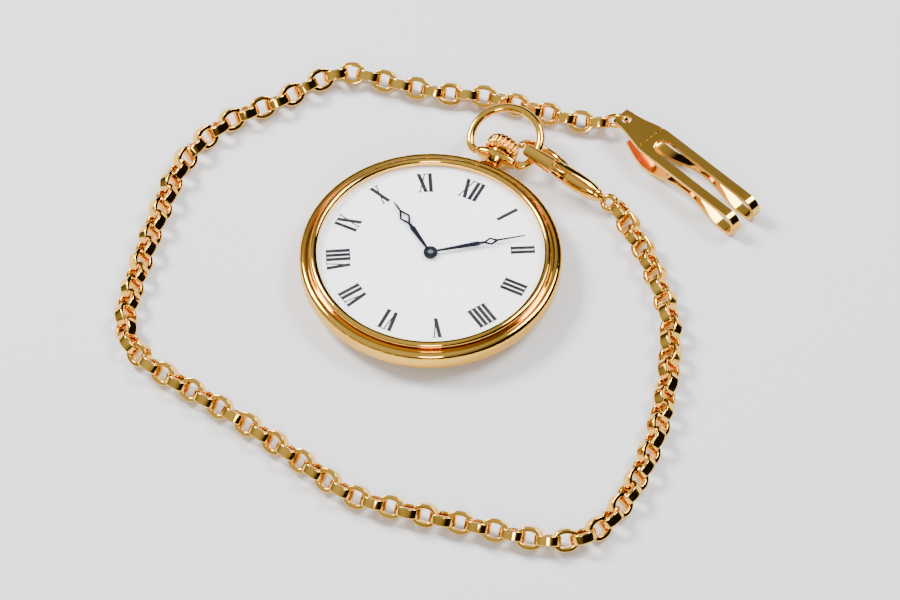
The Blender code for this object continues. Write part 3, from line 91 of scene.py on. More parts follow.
JOINTS = {joint["name"]: joint for joint in frame["joints"]}
CASE_BODY = "case"
BOW_BODY = "bow"

# ---- sizes shared by several pieces, mm

CASE_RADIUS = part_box("case_middle")[1].x / MM
BEZEL_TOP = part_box("bezel")[1].z / MM
DIAL_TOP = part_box("dial")[1].z / MM
DIAL_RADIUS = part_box("dial")[1].x / MM
BACK_RIM = 1.9  # height of the seam between the back and the band
BAND_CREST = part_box("case_middle")[1].z / MM
BAND_WIDTH = 1.45
GROOVE_WIDTH = 0.2
BEZEL_WIDTH = 1.25
BEZEL_OUTER = CASE_RADIUS - BAND_WIDTH - 0.05
DIAL_OPENING = BEZEL_OUTER - GROOVE_WIDTH - BEZEL_WIDTH
STEM = Vector(JOINTS["bow_swing"]["pos_m"]) / MM
COLLAR_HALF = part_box("pendant")[1].x / MM
CROWN_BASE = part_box("crown")[0].y / MM
CROWN_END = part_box("crown")[1].y / MM
CROWN_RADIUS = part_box("crown")[1].x / MM
BOW_TILT = 17.0  # degrees that the bow stands up from the dial's plane
BOW_RADIUS = 5.9
BOW_RISE = 3.4
BOW_WIRE = 1.4

CLASP_PIN = (8.0, -0.15)  # the gate's pin, from the clasp's nose
BARREL_LENGTH = 15.6

TURN_SIDES = 160
CHAIN_HEIGHT = 1.93
CHAIN_DIAMETER = 3.8
CLIP_PLACE = (14.9, 40.9)
CLIP_HEADING = -19.3  # degrees from +X
CLIP_LENGTH = 29.0
CLIP_WIDTH = 6.2
CLIP_NECK = 3.5
CLIP_SLOT = 3.0
CLIP_THICKNESS = 0.65
CLIP_HEIGHT = 4.6

# the chain's route on the table from the clasp to the pocket clip, as in the frame
CHAIN_ROUTE = [
    (23.0, 24.2), (26.6, 21.0), (31.0, 17.4), (38.8, 8.7), (41.7, 3.3), (44.9, -4.8),
    (47.4, -14.0), (48.5, -23.0), (48.3, -31.5), (46.6, -36.8), (43.3, -40.1), (38.8, -41.9),
    (30.6, -43.5), (20.2, -45.6), (12.6, -46.8), (7.8, -46.8), (0.0, -44.8), (-10.0, -42.3),
    (-20.3, -40.3), (-28.2, -38.9), (-33.0, -37.7), (-36.7, -35.5), (-39.2, -32.4),
    (-41.2, -27.0), (-43.3, -18.4), (-45.0, -10.2), (-46.4, -1.6), (-46.4, 4.0), (-45.1, 9.8),
    (-42.8, 14.6), (-38.6, 20.0), (-35.3, 25.9), (-32.8, 29.4), (-29.2, 31.4), (-21.6, 32.5),
    (-14.0, 34.2), (-7.0, 36.7), (0.5, 37.5), (8.5, 38.6), (12.7, 40.5),
]

# ---- frames of the pieces

UPRIGHT = Matrix.Identity(4)


def placed(origin, x_axis, y_axis):
    """A piece's frame from its origin in millimetres and two of its axes."""
    x = Vector(x_axis).normalized()
    z = x.cross(Vector(y_axis)).normalized()
    y = z.cross(x)
    turn = Matrix((x, y, z)).transposed().to_4x4()
    return Matrix.Translation(Vector(origin) * MM) @ turn


def along_stem(height_from_centre):
    """A frame whose Z runs out along the winding stem."""
    return placed((0, height_from_centre, STEM.z), (1, 0, 0), (0, 0, -1))


def bow_frame():
    """The bow's own plane: X along its pivots, Y out to the top of the ring."""
    tilt = radians(BOW_TILT)
    return placed(STEM, (1, 0, 0), (0, cos(tilt), sin(tilt)))


def clasp_frame():
    """The clasp's frame: X along it from the nose, Y towards the hook, Z through the pin."""
    along = Vector(JOINTS["clasp_swivel_turn"]["axis"])
    through = -Vector(JOINTS["clasp_trigger_press"]["axis"])
    hookward = through.cross(along)
    pin = Vector(JOINTS["clasp_trigger_press"]["pos_m"]) / MM
    nose = pin - along * CLASP_PIN[0] - hookward * CLASP_PIN[1]
    return placed(nose, along, hookward)


# ---- shape tools


def arc(centre, radius, start, end, steps):
    """Points along an arc, with its angles in degrees."""
    turns = [radians(start + (end - start) * step / steps) for step in range(steps + 1)]
    return [(centre[0] + radius * cos(turn), centre[1] + radius * sin(turn)) for turn in turns]


def circle(radius, sides):
    """Points round a circle, without repeating the first."""
    return arc((0, 0), radius, 0, 360, sides)[:-1]


def soften(points, radius, steps=3):
    """A closed outline with its corners rounded, as far as their sides allow."""
    rounded = []
    for index, point in enumerate(points):
        corner = Vector(point)
        before = Vector(points[index - 1]) - corner
        after = Vector(points[(index + 1) % len(points)]) - corner
        reach = min(radius, before.length * 0.45, after.length * 0.45)
        start = corner + before.normalized() * reach
        end = corner + after.normalized() * reach
        for step in range(steps + 1):
            share = step / steps
            rounded.append(tuple(
                start * (1 - share) ** 2 + corner * 2 * share * (1 - share) + end * share**2
            ))
    return rounded


def smooth_path(points, count):
    """Evenly spaced points on a curve through hand-laid ones."""
    ends = [points[0]] + list(points) + [points[-1]]
    dense = []
    for index in range(1, len(ends) - 2):
        a, b, c, d = (Vector(ends[index + offset]) for offset in (-1, 0, 1, 2))
        for step in range(16):
            t = step / 16
            dense.append(
                ((2 * b) + (c - a) * t + (2 * a - 5 * b + 4 * c - d) * t * t
                 + (3 * b - a - 3 * c + d) * t * t * t) / 2
            )
    dense.append(Vector(points[-1]))
    run = [0.0]
    for before, after in zip(dense, dense[1:]):
        run.append(run[-1] + (after - before).length)
    even = []
    segment = 0
    for step in range(count):
        wanted = run[-1] * step / (count - 1)
        while segment < len(dense) - 2 and run[segment + 1] < wanted:
            segment += 1
        share = (wanted - run[segment]) / (run[segment + 1] - run[segment])
        even.append(dense[segment].lerp(dense[segment + 1], share))
    return even


def run_at(path, index, closed=False):
    """The way that a line of points runs at one of them."""
    last = len(path) - 1
    before = path[index - 1] if closed or index else path[0]
    after = path[(index + 1) % len(path)] if closed or index < last else path[last]
    return (after - before).normalized()


def path_length(points):
    """The length of a line of points."""
    return sum((after - before).length for before, after in zip(points, points[1:]))


def eased(values, share):
    """The value at a share of a list of numbers, with a smooth change between neighbours."""
    reach = share * (len(values) - 1)
    index = min(int(reach), len(values) - 2)
    part = reach - index
    part = part * part * (3 - 2 * part)
    return values[index] * (1 - part) + values[index + 1] * part


def skin(rings, closed=False, mesh=None):
    """Faces between rings of the same number of points, with caps at the ends of an open row."""
    if mesh is None:
        mesh = bmesh.new()
    made = [[mesh.verts.new(point) for point in ring] for ring in rings]
    pairs = list(zip(made, made[1:])) + ([(made[-1], made[0])] if closed else [])
    for ring, following in pairs:
        for step in range(len(ring)):
            beside = (step + 1) % len(ring)
            mesh.faces.new((ring[step], ring[beside], following[beside], following[step]))
    if not closed:
        mesh.faces.new(made[0])
        mesh.faces.new(made[-1])
    return mesh


def lathe(outline, sides=TURN_SIDES):
    """A closed outline of (radius, height) points turned about Z."""
    mesh = bmesh.new()
    turns = [2 * pi * step / sides for step in range(sides)]
    rows = []
    for radius, height in outline:
        if radius < 1e-6:
            rows.append([mesh.verts.new((0, 0, height))] * sides)
        else:
            rows.append([mesh.verts.new((radius * cos(t), radius * sin(t), height)) for t in turns])
    for row, following in zip(rows, rows[1:] + rows[:1]):
        for step in range(sides):
            beside = (step + 1) % sides
            corners = dict.fromkeys((row[step], row[beside], following[beside], following[step]))
            if len(corners) > 2:
                mesh.faces.new(list(corners))
    return mesh


def sweep(path, sections, normal, closed=False, mesh=None):
    """Carries a section of (across, up) points along a path; normal says which way up faces."""
    rings = []
    for index, here in enumerate(path):
        along = run_at(path, index, closed)
        side = along.cross(normal).normalized()
        up = side.cross(along)
        section = sections[index] if isinstance(sections[0][0], tuple) else sections
        rings.append([here + side * across + up * rise for across, rise in section])
    return skin(rings, closed, mesh)


def oval(half_across, half_up, sides, squareness=2.0):
    """A section that goes from an ellipse at 2 towards a box as squareness grows."""
    power = 2 / squareness
    return [
        (half_across * copysign(abs(x) ** power, x), half_up * copysign(abs(y) ** power, y))
        for x, y in circle(1.0, sides)
    ]


def oblong(low_x, low_y, high_x, high_y):
    """A four-sided outline between two corners."""
    return [(low_x, low_y), (high_x, low_y), (high_x, high_y), (low_x, high_y)]


def plate(outline, low, high, mesh=None):
    """A flat outline with straight walls between two heights."""
    return skin([[(x, y, height) for x, y in outline] for height in (low, high)], mesh=mesh)


def disc(radius, low, high, edge, bore=0.0, sides=TURN_SIDES):
    """A turned disc with softened edges, and a bore if it has one."""
    return lathe(soften(oblong(bore, low, radius, high), edge), sides)


# ---- placing pieces


def finish_mesh(name, mesh, material, sharp=35):
    """Turns worked millimetres into a finished mesh in metres."""
    bmesh.ops.scale(mesh, vec=(MM, MM, MM), verts=mesh.verts)
    bmesh.ops.recalc_face_normals(mesh, faces=mesh.faces)
    data = bpy.data.meshes.new(name)
    mesh.to_mesh(data)
    mesh.free()
    data.shade_smooth()
    data.set_sharp_from_angle(angle=radians(sharp))
    data.materials.append(material)
    return data


def add_object(name, data, place=UPRIGHT):
    """A new object in the scene, at its place."""
    made = bpy.data.objects.new(name, data)
    bpy.context.scene.collection.objects.link(made)
    made.matrix_world = place
    return made


def piece(name, mesh, look="gold", place=UPRIGHT, sharp=35):
    """A named object in its own frame, with the finish of a look."""
    made = add_object(name, finish_mesh(name, mesh, finish(look), sharp), place)
    return made


def round_edges(target, width, **settings):
    """Softens a piece's edges by a width in millimetres."""
    bevel = target.modifiers.new("softened_edges", "BEVEL")
    bevel.width = width * MM
    for key, value in settings.items():
        setattr(bevel, key, value)


def cut(target, mesh, name):
    """Takes a tool body, made in the target's own frame, out of it."""
    tool = add_object(name, finish_mesh(name, mesh, target.data.materials[0]), target.matrix_world)
    modifier = target.modifiers.new(name, "BOOLEAN")
    modifier.object = tool
    modifier.operation = "DIFFERENCE"
    bpy.context.view_layer.update()
    graph = bpy.context.evaluated_depsgraph_get()
    carved = bpy.data.meshes.new_from_object(target.evaluated_get(graph), depsgraph=graph)
    target.modifiers.remove(modifier)
    target.data = carved
    bpy.data.objects.remove(tool)
    carved.shade_smooth()
    carved.set_sharp_from_angle(angle=radians(35))


# ---- materials


def linear(colour):
    """An sRGB hex colour as linear red, green, blue and alpha."""
    channels = [int(colour[start:start + 2], 16) / 255 for start in (1, 3, 5)]
    return [c / 12.92 if c <= 0.04045 else ((c + 0.055) / 1.055) ** 2.4 for c in channels] + [1.0]


WAVES_PER_UNIT = 20  # a wave texture draws about this many waves in a unit of its scale


def per_metre(size_mm):
    """A texture scale whose features are a size in millimetres."""
    return 1000.0 / size_mm


def add_node(tree, kind, inputs=None, into=None, **settings):
    """Adds one shader node with its settings and inputs, and links its first output into a socket."""
    made = tree.nodes.new(kind)
    for key, value in settings.items():
        setattr(made, key, value)
    for key, value in (inputs or {}).items():
        if isinstance(value, bpy.types.NodeSocket):
            tree.links.new(value, made.inputs[key])
        else:
            made.inputs[key].default_value = value
    if into is not None:
        tree.links.new(made.outputs[0], into)
    return made


Finish = namedtuple("Finish", "material tree shader where")


def new_finish(name, constants, patch_mm, detail, tones=None, gloss=None):
    """A material whose tone and roughness drift between two values over patches of a size.

    The constants go straight on the shader's own sockets.
    """
    material = bpy.data.materials.new(name)
    material.use_nodes = True
    tree = material.node_tree
    shader = tree.nodes["Principled BSDF"]
    for key, value in constants.items():
        shader.inputs[key].default_value = value
    where = add_node(tree, "ShaderNodeTexCoord").outputs["Object"]
    patches = add_node(
        tree, "ShaderNodeTexNoise", {"Vector": where, "Scale": per_metre(patch_mm), "Detail": detail}
    ).outputs["Fac"]
    if tones:
        colour = add_node(tree, "ShaderNodeValToRGB", {"Fac": patches}, shader.inputs["Base Color"])
        for element, tone in zip(colour.color_ramp.elements, tones):
            element.color = tone
    if gloss:
        add_node(
            tree, "ShaderNodeMapRange", {"Value": patches, "To Min": gloss[0], "To Max": gloss[1]},
            shader.inputs["Roughness"],
        )
    return Finish(material, tree, shader, where)


def surface_grain(made, grain_mm, detail, strength, depth_mm):
    """Adds a fine grain of a size, which only breaks up the gloss."""
    grain = add_node(
        made.tree, "ShaderNodeTexNoise",
        {"Vector": made.where, "Scale": per_metre(grain_mm), "Detail": detail},
    )
    add_node(
        made.tree, "ShaderNodeBump",
        {"Strength": strength, "Distance": depth_mm * MM, "Height": grain.outputs["Fac"]},
        made.shader.inputs["Normal"],
    )
    return made


def tool_lines(made, spacing_mm, wave, strength, depth_mm, **settings):
    """Adds the lines that a turning or grinding tool leaves at a spacing."""
    scale = per_metre(spacing_mm) / WAVES_PER_UNIT
    lines = add_node(
        made.tree, "ShaderNodeTexWave", {"Vector": made.where, "Scale": scale, **wave}, **settings
    )
    add_node(
        made.tree, "ShaderNodeBump",
        {"Strength": strength, "Distance": depth_mm * MM, "Height": lines.outputs["Fac"]},
        made.shader.inputs["Normal"],
    )
    return made


def yellow_gold(name):
    """18 carat yellow gold in patches of warmer tone, with wiped smears over its gloss."""
    colours = bpy.context.scene.watch_colours
    gloss = colours.gold_gloss
    made = new_finish(name, {"Metallic": 1.0}, 6.0, 2.0, (colours.gold_deep, colours.gold))
    smear = add_node(
        made.tree, "ShaderNodeTexNoise", {"Vector": made.where, "Scale": per_metre(2.5), "Detail": 4.0}
    )
    add_node(
        made.tree, "ShaderNodeMapRange",
        {"Value": smear.outputs["Fac"], "To Min": gloss * 0.6, "To Max": gloss * 1.6},
        made.shader.inputs["Roughness"],
    )
    return made


def buffed_gold():
    """Gold buffed on a wheel: a mirror with the faintest hairlines."""
    return surface_grain(yellow_gold("buffed_yellow_gold"), 0.25, 5.0, 0.03, 0.004)


def turned_gold():
    """Gold left from the lathe tool: fine rings that catch thin bright lines round the case."""
    made = yellow_gold("turned_yellow_gold")
    even = {"Distortion": 0.0, "Detail": 0.0}
    return tool_lines(made, 0.35, even, 0.12, 0.02, wave_type="RINGS", rings_direction="Z")


def dial_lacquer():
    """White lacquer over a metal dial: cool white, faintly cloudy, with an eggshell gloss."""
    constants = {"Roughness": 0.28, "IOR": 1.5, "Coat Weight": 0.35, "Coat Roughness": 0.12}
    made = new_finish("white_dial_lacquer", constants, 9.0, 3.0, (linear("#D9D9DE"), linear("#E2E2E5")))
    return surface_grain(made, 0.12, 2.0, 0.03, 0.01)


def printed_ink():
    """Black pad-printing ink: matt, a little uneven where the film is thin."""
    constants = {"IOR": 1.5, "Specular IOR Level": 0.06}
    tones = (linear("#08090B"), linear("#131418"))
    return new_finish("pad_printed_ink", constants, 0.4, 3.0, tones, (0.6, 0.75))


def worked_metal(name, light, dark, roughness, patch_mm):
    """A metal with a mottled tone and gloss and a fine surface grain."""
    gloss = (roughness * 0.7, roughness * 1.3)
    made = new_finish(name, {"Metallic": 1.0}, patch_mm, 3.0, (linear(dark), linear(light)), gloss)
    return surface_grain(made, patch_mm / 12, 2.0, 0.1, 0.01)


def gilt_brass():
    """Brass wheels under a thin gold wash: warm and softly grained."""
    return worked_metal("gilt_wheel_brass", "#E2C47A", "#C9A55C", 0.28, 1.5)


def polished_steel():
    """Hardened steel polished by hand: cold grey, almost a mirror."""
    return worked_metal("hand_polished_steel", "#C9CCD1", "#A9ADB3", 0.18, 1.2)


def blued_steel():
    """Steel blued over a flame: near black, blue only where it shines."""
    return worked_metal("flame_blued_steel", "#151C36", "#0A0D1C", 0.25, 1.0)


def striped_nickel():
    """Nickel-plated brass with broad ground stripes, as bridges are finished."""
    made = worked_metal("striped_nickel_plate", "#D9D6CF", "#B9B6AE", 0.25, 3.0)
    uneven = {"Distortion": 0.3}
    return tool_lines(made, 1.6, uneven, 0.4, 0.03, wave_type="BANDS", bands_direction="DIAGONAL")


def ruby_jewel():
    """Synthetic ruby, ground and polished: deep red, clear at thin edges."""
    constants = {"Roughness": 0.04, "IOR": 1.77, "Transmission Weight": 0.6}
    return new_finish("synthetic_ruby", constants, 0.5, 2.0, (linear("#8E0A2C"), linear("#C21546")))


def clear_crystal():
    """A polished clear crystal: lamps reach the dial through it, and only its sheen shows."""
    constants = {"Base Color": (1.0, 1.0, 1.0, 1.0), "IOR": 1.45, "Transmission Weight": 1.0}
    made = new_finish("clear_watch_crystal", constants, 8.0, 3.0, gloss=(0.0, 0.02))
    lamp = add_node(made.tree, "ShaderNodeLightPath")
    clear = add_node(made.tree, "ShaderNodeBsdfTransparent")
    add_node(
        made.tree, "ShaderNodeMixShader",
        {0: lamp.outputs["Is Shadow Ray"], 1: made.shader.outputs["BSDF"], 2: clear.outputs["BSDF"]},
        made.tree.nodes["Material Output"].inputs["Surface"],
    )
    return made


def pale_board():
    """A plain pale board under the watch, matt, with the faintest tooth."""
    return new_finish("pale_board", {"Roughness": 0.7}, 1.2, 2.0, (linear("#E2E2E4"), linear("#E8E8EA")))


MAKERS = {
    "gold": buffed_gold, "turned": turned_gold, "dial": dial_lacquer, "ink": printed_ink, "gilt": gilt_brass,
    "steel": polished_steel, "blued": blued_steel, "nickel": striped_nickel, "ruby": ruby_jewel,
    "crystal": clear_crystal, "floor": pale_board,
}
FINISHES = {}


def finish(look):
    """The material of a look, made once."""
    if look not in FINISHES:
        FINISHES[look] = MAKERS[look]().material
    return FINISHES[look]


# ---- sizes and colours a user may change


class WatchColours(bpy.types.PropertyGroup):
    """Colours and gloss of the gold."""

    gold: FloatVectorProperty(
        name="Gold", description="Body colour of the yellow gold", subtype="COLOR", size=4,
        min=0.0, max=1.0, default=linear("#F4C253"),
    )
    gold_deep: FloatVectorProperty(
        name="Deep gold", description="The gold where its tone runs redder", subtype="COLOR", size=4,
        min=0.0, max=1.0, default=linear("#EBAF43"),
    )
    gold_gloss: FloatProperty(
        name="Gold roughness", description="Middle roughness of the buffed gold",
        default=0.075, min=0.0, max=1.0,
    )


class DialSizes(bpy.types.PropertyGroup):
    """Sizes of the printed numerals and of the hands, in millimetres."""

    numeral_radius: FloatProperty(
        name="Numeral radius", description="From the centre to the middle of a numeral, mm", default=15.05
    )
    numeral_height: FloatProperty(name="Numeral height", description="Along the radius, mm", default=3.8)
    thick_stroke: FloatProperty(
        name="Thick stroke", description="Width of a numeral's main strokes, mm", default=0.62
    )
    thin_stroke: FloatProperty(
        name="Thin stroke", description="Width of serifs and hairlines, mm", default=0.16
    )
    hour_length: FloatProperty(name="Hour hand", description="Length, mm", default=12.3)
    minute_length: FloatProperty(name="Minute hand", description="Length, mm", default=15.8)
    minutes_shown: FloatProperty(name="Time shown", description="Minutes after twelve", default=608.5)


class ChainSizes(bpy.types.PropertyGroup):
    """Sizes of one chain link, in millimetres."""

    link_length: FloatProperty(name="Link length", description="Outside, mm", default=4.4)
    link_width: FloatProperty(name="Link width", description="Outside, mm", default=CHAIN_DIAMETER)
    band_thickness: FloatProperty(name="Band thickness", description="mm", default=0.78)
    band_width: FloatProperty(name="Band width", description="mm", default=1.65)
    roll: FloatProperty(
        name="Roll", description="How far a link leans from lying flat", subtype="ANGLE",
        default=radians(45),
    )


# ---- case


def band_profile():
    """The case band's closed outline: rounded outside, bored and stepped inside."""
    reach = BAND_WIDTH / 2 + 0.2
    outer = [(CASE_RADIUS - 0.85, BACK_RIM + 0.07), (CASE_RADIUS - 0.55, BACK_RIM + 0.12)]
    outer += arc((CASE_RADIUS - 0.75, 2.95), 0.75, -62, 0, 8)
    outer += arc((CASE_RADIUS - reach, BAND_CREST - reach), reach, 4, 90, 12)
    groove = [(CASE_RADIUS - reach - 0.3, BAND_CREST - 0.06), (BEZEL_OUTER + 0.05, BAND_CREST - 0.4)]
    seat = DIAL_TOP + 0.1
    bore = DIAL_RADIUS + 0.1
    inner = [(BEZEL_OUTER + 0.05, seat), (bore, seat), (bore, 2.5), (bore + 0.1, BACK_RIM + 0.07)]
    return outer + groove + inner


def back_profile():
    """The case back: flat to rest on, a full rounded flank and a thin bead at the seam."""
    edge = CASE_RADIUS - 0.72
    flank = [(0, 0), (14.6, 0), (15.6, 0.03)]
    for share in (0.2, 0.4, 0.6, 0.75, 0.87, 0.95, 1.0):
        flank.append((15.6 + (edge - 0.12 - 15.6) * share, 0.03 + 1.37 * share**2.6))
    bead = arc((edge - 0.16, BACK_RIM - 0.22), 0.2, -60, 75, 7)
    inner = [
        (DIAL_RADIUS + 0.15, BACK_RIM), (DIAL_RADIUS + 0.15, BACK_RIM + 0.45),
        (DIAL_RADIUS - 0.2, BACK_RIM + 0.45), (DIAL_RADIUS - 0.3, 1.5), (16.6, 0.55), (0, 0.55),
    ]
    return flank + bead + inner


def bezel_profile():
    """The bezel: one full bead, a dark groove outside it and a lip that frames the dial."""
    bead = BEZEL_WIDTH / 2
    crest = BEZEL_OUTER - GROOVE_WIDTH - bead
    seat = DIAL_TOP + 0.15
    outline = [(DIAL_OPENING + 0.02, seat), (BEZEL_OUTER, seat), (BEZEL_OUTER, BAND_CREST - 0.55)]
    outline += [(BEZEL_OUTER - GROOVE_WIDTH, BAND_CREST - 0.5)]
    outline += arc((crest, BEZEL_TOP - bead), bead, -8, 150, 18)
    outline += [(DIAL_OPENING + 0.05, BEZEL_TOP - 0.55)]
    return outline


def crystal_profile():
    """The crystal: a low dome with a rounded rim that stands just proud of the bezel."""
    radius = DIAL_OPENING + 0.2
    low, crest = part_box("crystal")[0].z / MM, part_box("crystal")[1].z / MM
    rise = crest - BEZEL_TOP + 0.25
    top = [(radius * share, crest - rise * share**2.2) for share in (1.0, 0.985, 0.95, 0.88, 0.75, 0.55, 0.3)]
    under = [(radius * share, low + 0.24 * (1 - share**2)) for share in (0.3, 0.6, 0.85, 0.97)]
    return top + [(0, crest), (0, low + 0.24)] + under + [(radius, low)]


class MakeCase(bpy.types.Operator):
    """Makes the case back, the band, the bezel and the crystal"""

    bl_idname = "watch.make_case"
    bl_label = "Case"

    def execute(self, context):
        for name, outline, look, slot, node in (
            ("case_back_shell", back_profile(), "turned", "polished_gold", "case_back"),
            ("case_band", band_profile(), "turned", "polished_gold", "case_middle"),
            ("bezel_ring", bezel_profile(), "gold", "polished_gold", "bezel"),
            ("crystal_dome", crystal_profile(), "crystal", "crystal_glass", "crystal"),
        ):
            made = piece(name, lathe(outline), look)
            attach(made, CASE_BODY)
            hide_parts(node)
        return {"FINISHED"}


# ---- pendant, crown and bow


def collar_rings():
    """Rings of the boat-shaped collar, along X."""
    rings = []
    for step in range(41):
        share = -1 + step / 20
        x = COLLAR_HALF * share
        tip = max(1e-3, 1 - abs(share) ** 14)
        high = (0.78 + 0.82 * (1 - abs(share) ** 1.8)) * tip**0.5
        deep = (0.74 + 0.12 * (1 - share**2)) * tip**0.5
        rings.append([(x, up, STEM.y + across) for across, up in oval(deep, high, 28, 2.5)])
    return rings


def crown_rings():
    """Rings of the winding crown from its base to its domed end, fluted round the side."""
    flutes, per_flute, flute_depth = 20, 8, 0.6
    length = CROWN_END - CROWN_BASE
    rings = []
    for height, share, depth in (
        (0.0, 0.72, 0.0), (0.02, 0.84, 0.0), (0.1, 0.9, 0.3), (0.28, 0.98, 0.8), (0.5, 1.0, 1.0),
        (0.95, 1.0, 1.0), (length - 0.95, 1.0, 1.0), (length - 0.62, 0.985, 1.0),
        (length - 0.4, 0.93, 0.75), (length - 0.24, 0.84, 0.35), (length - 0.12, 0.7, 0.08),
        (length - 0.05, 0.5, 0.0), (length - 0.01, 0.25, 0.0), (length, 0.08, 0.0),
    ):
        ring = []
        for step in range(flutes * per_flute):
            angle = 2 * pi * step / (flutes * per_flute)
            wave = abs(sin(flutes * angle / 2)) ** 0.6
            radius = CROWN_RADIUS * share - flute_depth * depth * (1 - wave)
            ring.append((radius * cos(angle), radius * sin(angle), height))
        rings.append(ring)
    return rings


def bow_path():
    """The bow's middle line in its own plane, from one pivot round to the other."""
    inward = COLLAR_HALF + 0.08
    foot = degrees(acos(-(BOW_RISE - 1.55) / BOW_RADIUS)) - 90
    ring = arc((0, BOW_RISE), BOW_RADIUS, -foot, 180 + foot, 40)
    right = [(inward, 0.0), (inward + 0.42, 0.04), (inward + 0.95, 0.26), (inward + 1.4, 0.78)]
    left = [(-x, y) for x, y in reversed(right)]
    return smooth_path([(x, y, 0) for x, y in right + ring + left], 180)


class MakePendant(bpy.types.Operator):
    """Makes the pendant's neck and collar, the winding crown and the bow"""

    bl_idname = "watch.make_pendant"
    bl_label = "Pendant, crown and bow"

    def execute(self, context):
        neck_low = CASE_RADIUS - 0.2
        neck = lathe([
            (0, neck_low), (2.3, neck_low), (2.25, neck_low + 0.22), (1.8, neck_low + 0.5),
            (1.5, neck_low + 0.85), (1.36, neck_low + 1.3), (1.32, STEM.y - 0.5), (1.5, STEM.y),
            (1.7, STEM.y + 0.5), (1.6, STEM.y + 0.82), (0, STEM.y + 0.82),
        ], 64)
        neck_piece = piece("pendant_neck", neck, place=along_stem(0))
        collar = piece("pendant_collar", skin(collar_rings()), place=along_stem(0))
        for made in (neck_piece, collar):
            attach(made, CASE_BODY)
        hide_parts("pendant")

        crown = piece("winding_crown", skin(crown_rings()), place=along_stem(CROWN_BASE), sharp=50)
        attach(crown, "crown")
        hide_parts("crown")

        ring = sweep(bow_path(), oval(BOW_WIRE / 2, BOW_WIRE / 2, 28), Vector((0, 0, 1)))
        bow = piece("bow_ring", ring, place=bow_frame())
        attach(bow, BOW_BODY)
        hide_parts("bow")
        return {"FINISHED"}


# ---- dial and hands

NUMERALS = ("XII", "I", "II", "III", "IIII", "V", "VI", "VII", "VIII", "IX", "X", "XI")
ADVANCES = {"I": 0.86, "V": 1.75, "X": 1.85}  # room that each letter takes
UPRIGHT_SERIF = 0.42  # half a serif on a straight stroke
SLANT_SERIF = 0.36


def stroke(start, end, width):
    """A straight stroke with level ends, as a four-sided outline."""
    (x0, y0), (x1, y1) = start, end
    half = width / 2 * hypot(x1 - x0, y1 - y0) / abs(y1 - y0)
    return [(x0 - half, y0), (x0 + half, y0), (x1 + half, y1), (x1 - half, y1)]


def serif(x, y, reach, thickness):
    """A thin level bar across the end of a stroke."""
    return oblong(x - reach, y - thickness / 2, x + reach, y + thickness / 2)


def numeral_strokes(text, sizes):
    """The strokes of a Roman numeral, centred, its foot towards the dial's centre."""
    height = sizes.numeral_height / 2
    thick, thin = sizes.thick_stroke, sizes.thin_stroke
    hair = thin * 1.3
    left = -sum(ADVANCES[letter] for letter in text) / 2
    strokes = []
    for letter in text:
        advance = ADVANCES[letter]
        middle = left + advance / 2
        lean = advance / 2 - UPRIGHT_SERIF
        if letter == "I":
            sides, ends, reach = (0,), (-1, 1), UPRIGHT_SERIF
            strokes.append(stroke((middle, -height), (middle, height), thick))
        elif letter == "V":
            sides, ends, reach = (-1, 1), (1,), SLANT_SERIF
            foot = (middle + 0.05, -height)
            strokes.append(stroke(foot, (middle - lean, height), thick))
            strokes.append(stroke(foot, (middle + lean, height), hair))
        else:
            sides, ends, reach = (-1, 1), (-1, 1), SLANT_SERIF
            strokes.append(stroke((middle + lean, -height), (middle - lean, height), thick))
            strokes.append(stroke((middle - lean, -height), (middle + lean, height), hair))
        strokes += [serif(middle + side * lean, end * height, reach, thin) for side in sides for end in ends]
        left += advance
    return strokes


def numerals_mesh(sizes):
    """All twelve numerals as thin raised ink."""
    mesh = bmesh.new()
    film = 0.02
    for hour, text in enumerate(NUMERALS):
        turn = Matrix.Rotation(-2 * pi * hour / len(NUMERALS), 2)
        for layer, outline in enumerate(numeral_strokes(text, sizes)):
            turned = [turn @ Vector((x, y + sizes.numeral_radius)) for x, y in outline]
            # each stroke stands a hair above the one before, so that no two tops share a plane
            plate(turned, DIAL_TOP - 0.01, DIAL_TOP + film + 0.0015 * layer, mesh)
    return mesh


def hand_outline(length, waist, opening):
    """A baton that swells to its waist, then a diamond, then a needle; hub at the origin, along +Y."""
    wide, middle, half = opening
    right = [
        (0.2, 1.0), (0.46, waist - 0.6), (0.42, waist - 0.3), (0.18, waist), (0.34, waist + 0.14),
        (0.34, waist + 0.3), (0.16, middle - half), (wide, middle), (0.17, middle + half),
        (0.18, middle + half + 0.5), (0.1, length),
    ]
    left = [(-x, y) for x, y in reversed(right)]
    return right + left


def make_hand(node, length, waist, opening, minutes_per_turn, minutes_shown):
    """One pierced hand with its round boss, on the body of its own name."""
    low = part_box(node)[0].z
    angle = -2 * pi * (minutes_shown % minutes_per_turn) / minutes_per_turn
    place = Matrix.Translation((0, 0, low)) @ Matrix.Rotation(angle, 4, "Z")
    blade = plate(hand_outline(length, waist, opening), 0, 0.12)
    hand = piece(f"{node}_blade", blade, "blued", place)
    wide, middle, half = opening
    rim = 0.36
    inner = [(0, middle - half + 0.5), (wide - rim, middle), (0, middle + half - 0.5), (rim - wide, middle)]
    cut(hand, plate(inner, -1, 1), "diamond_opening")
    round_edges(hand, 0.03, segments=2)
    boss = piece(f"{node}_blade_boss", disc(1.15, 0, 0.14, 0.035, sides=48), "blued", place)
    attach(hand, node)
    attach(boss, node)
    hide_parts(node)


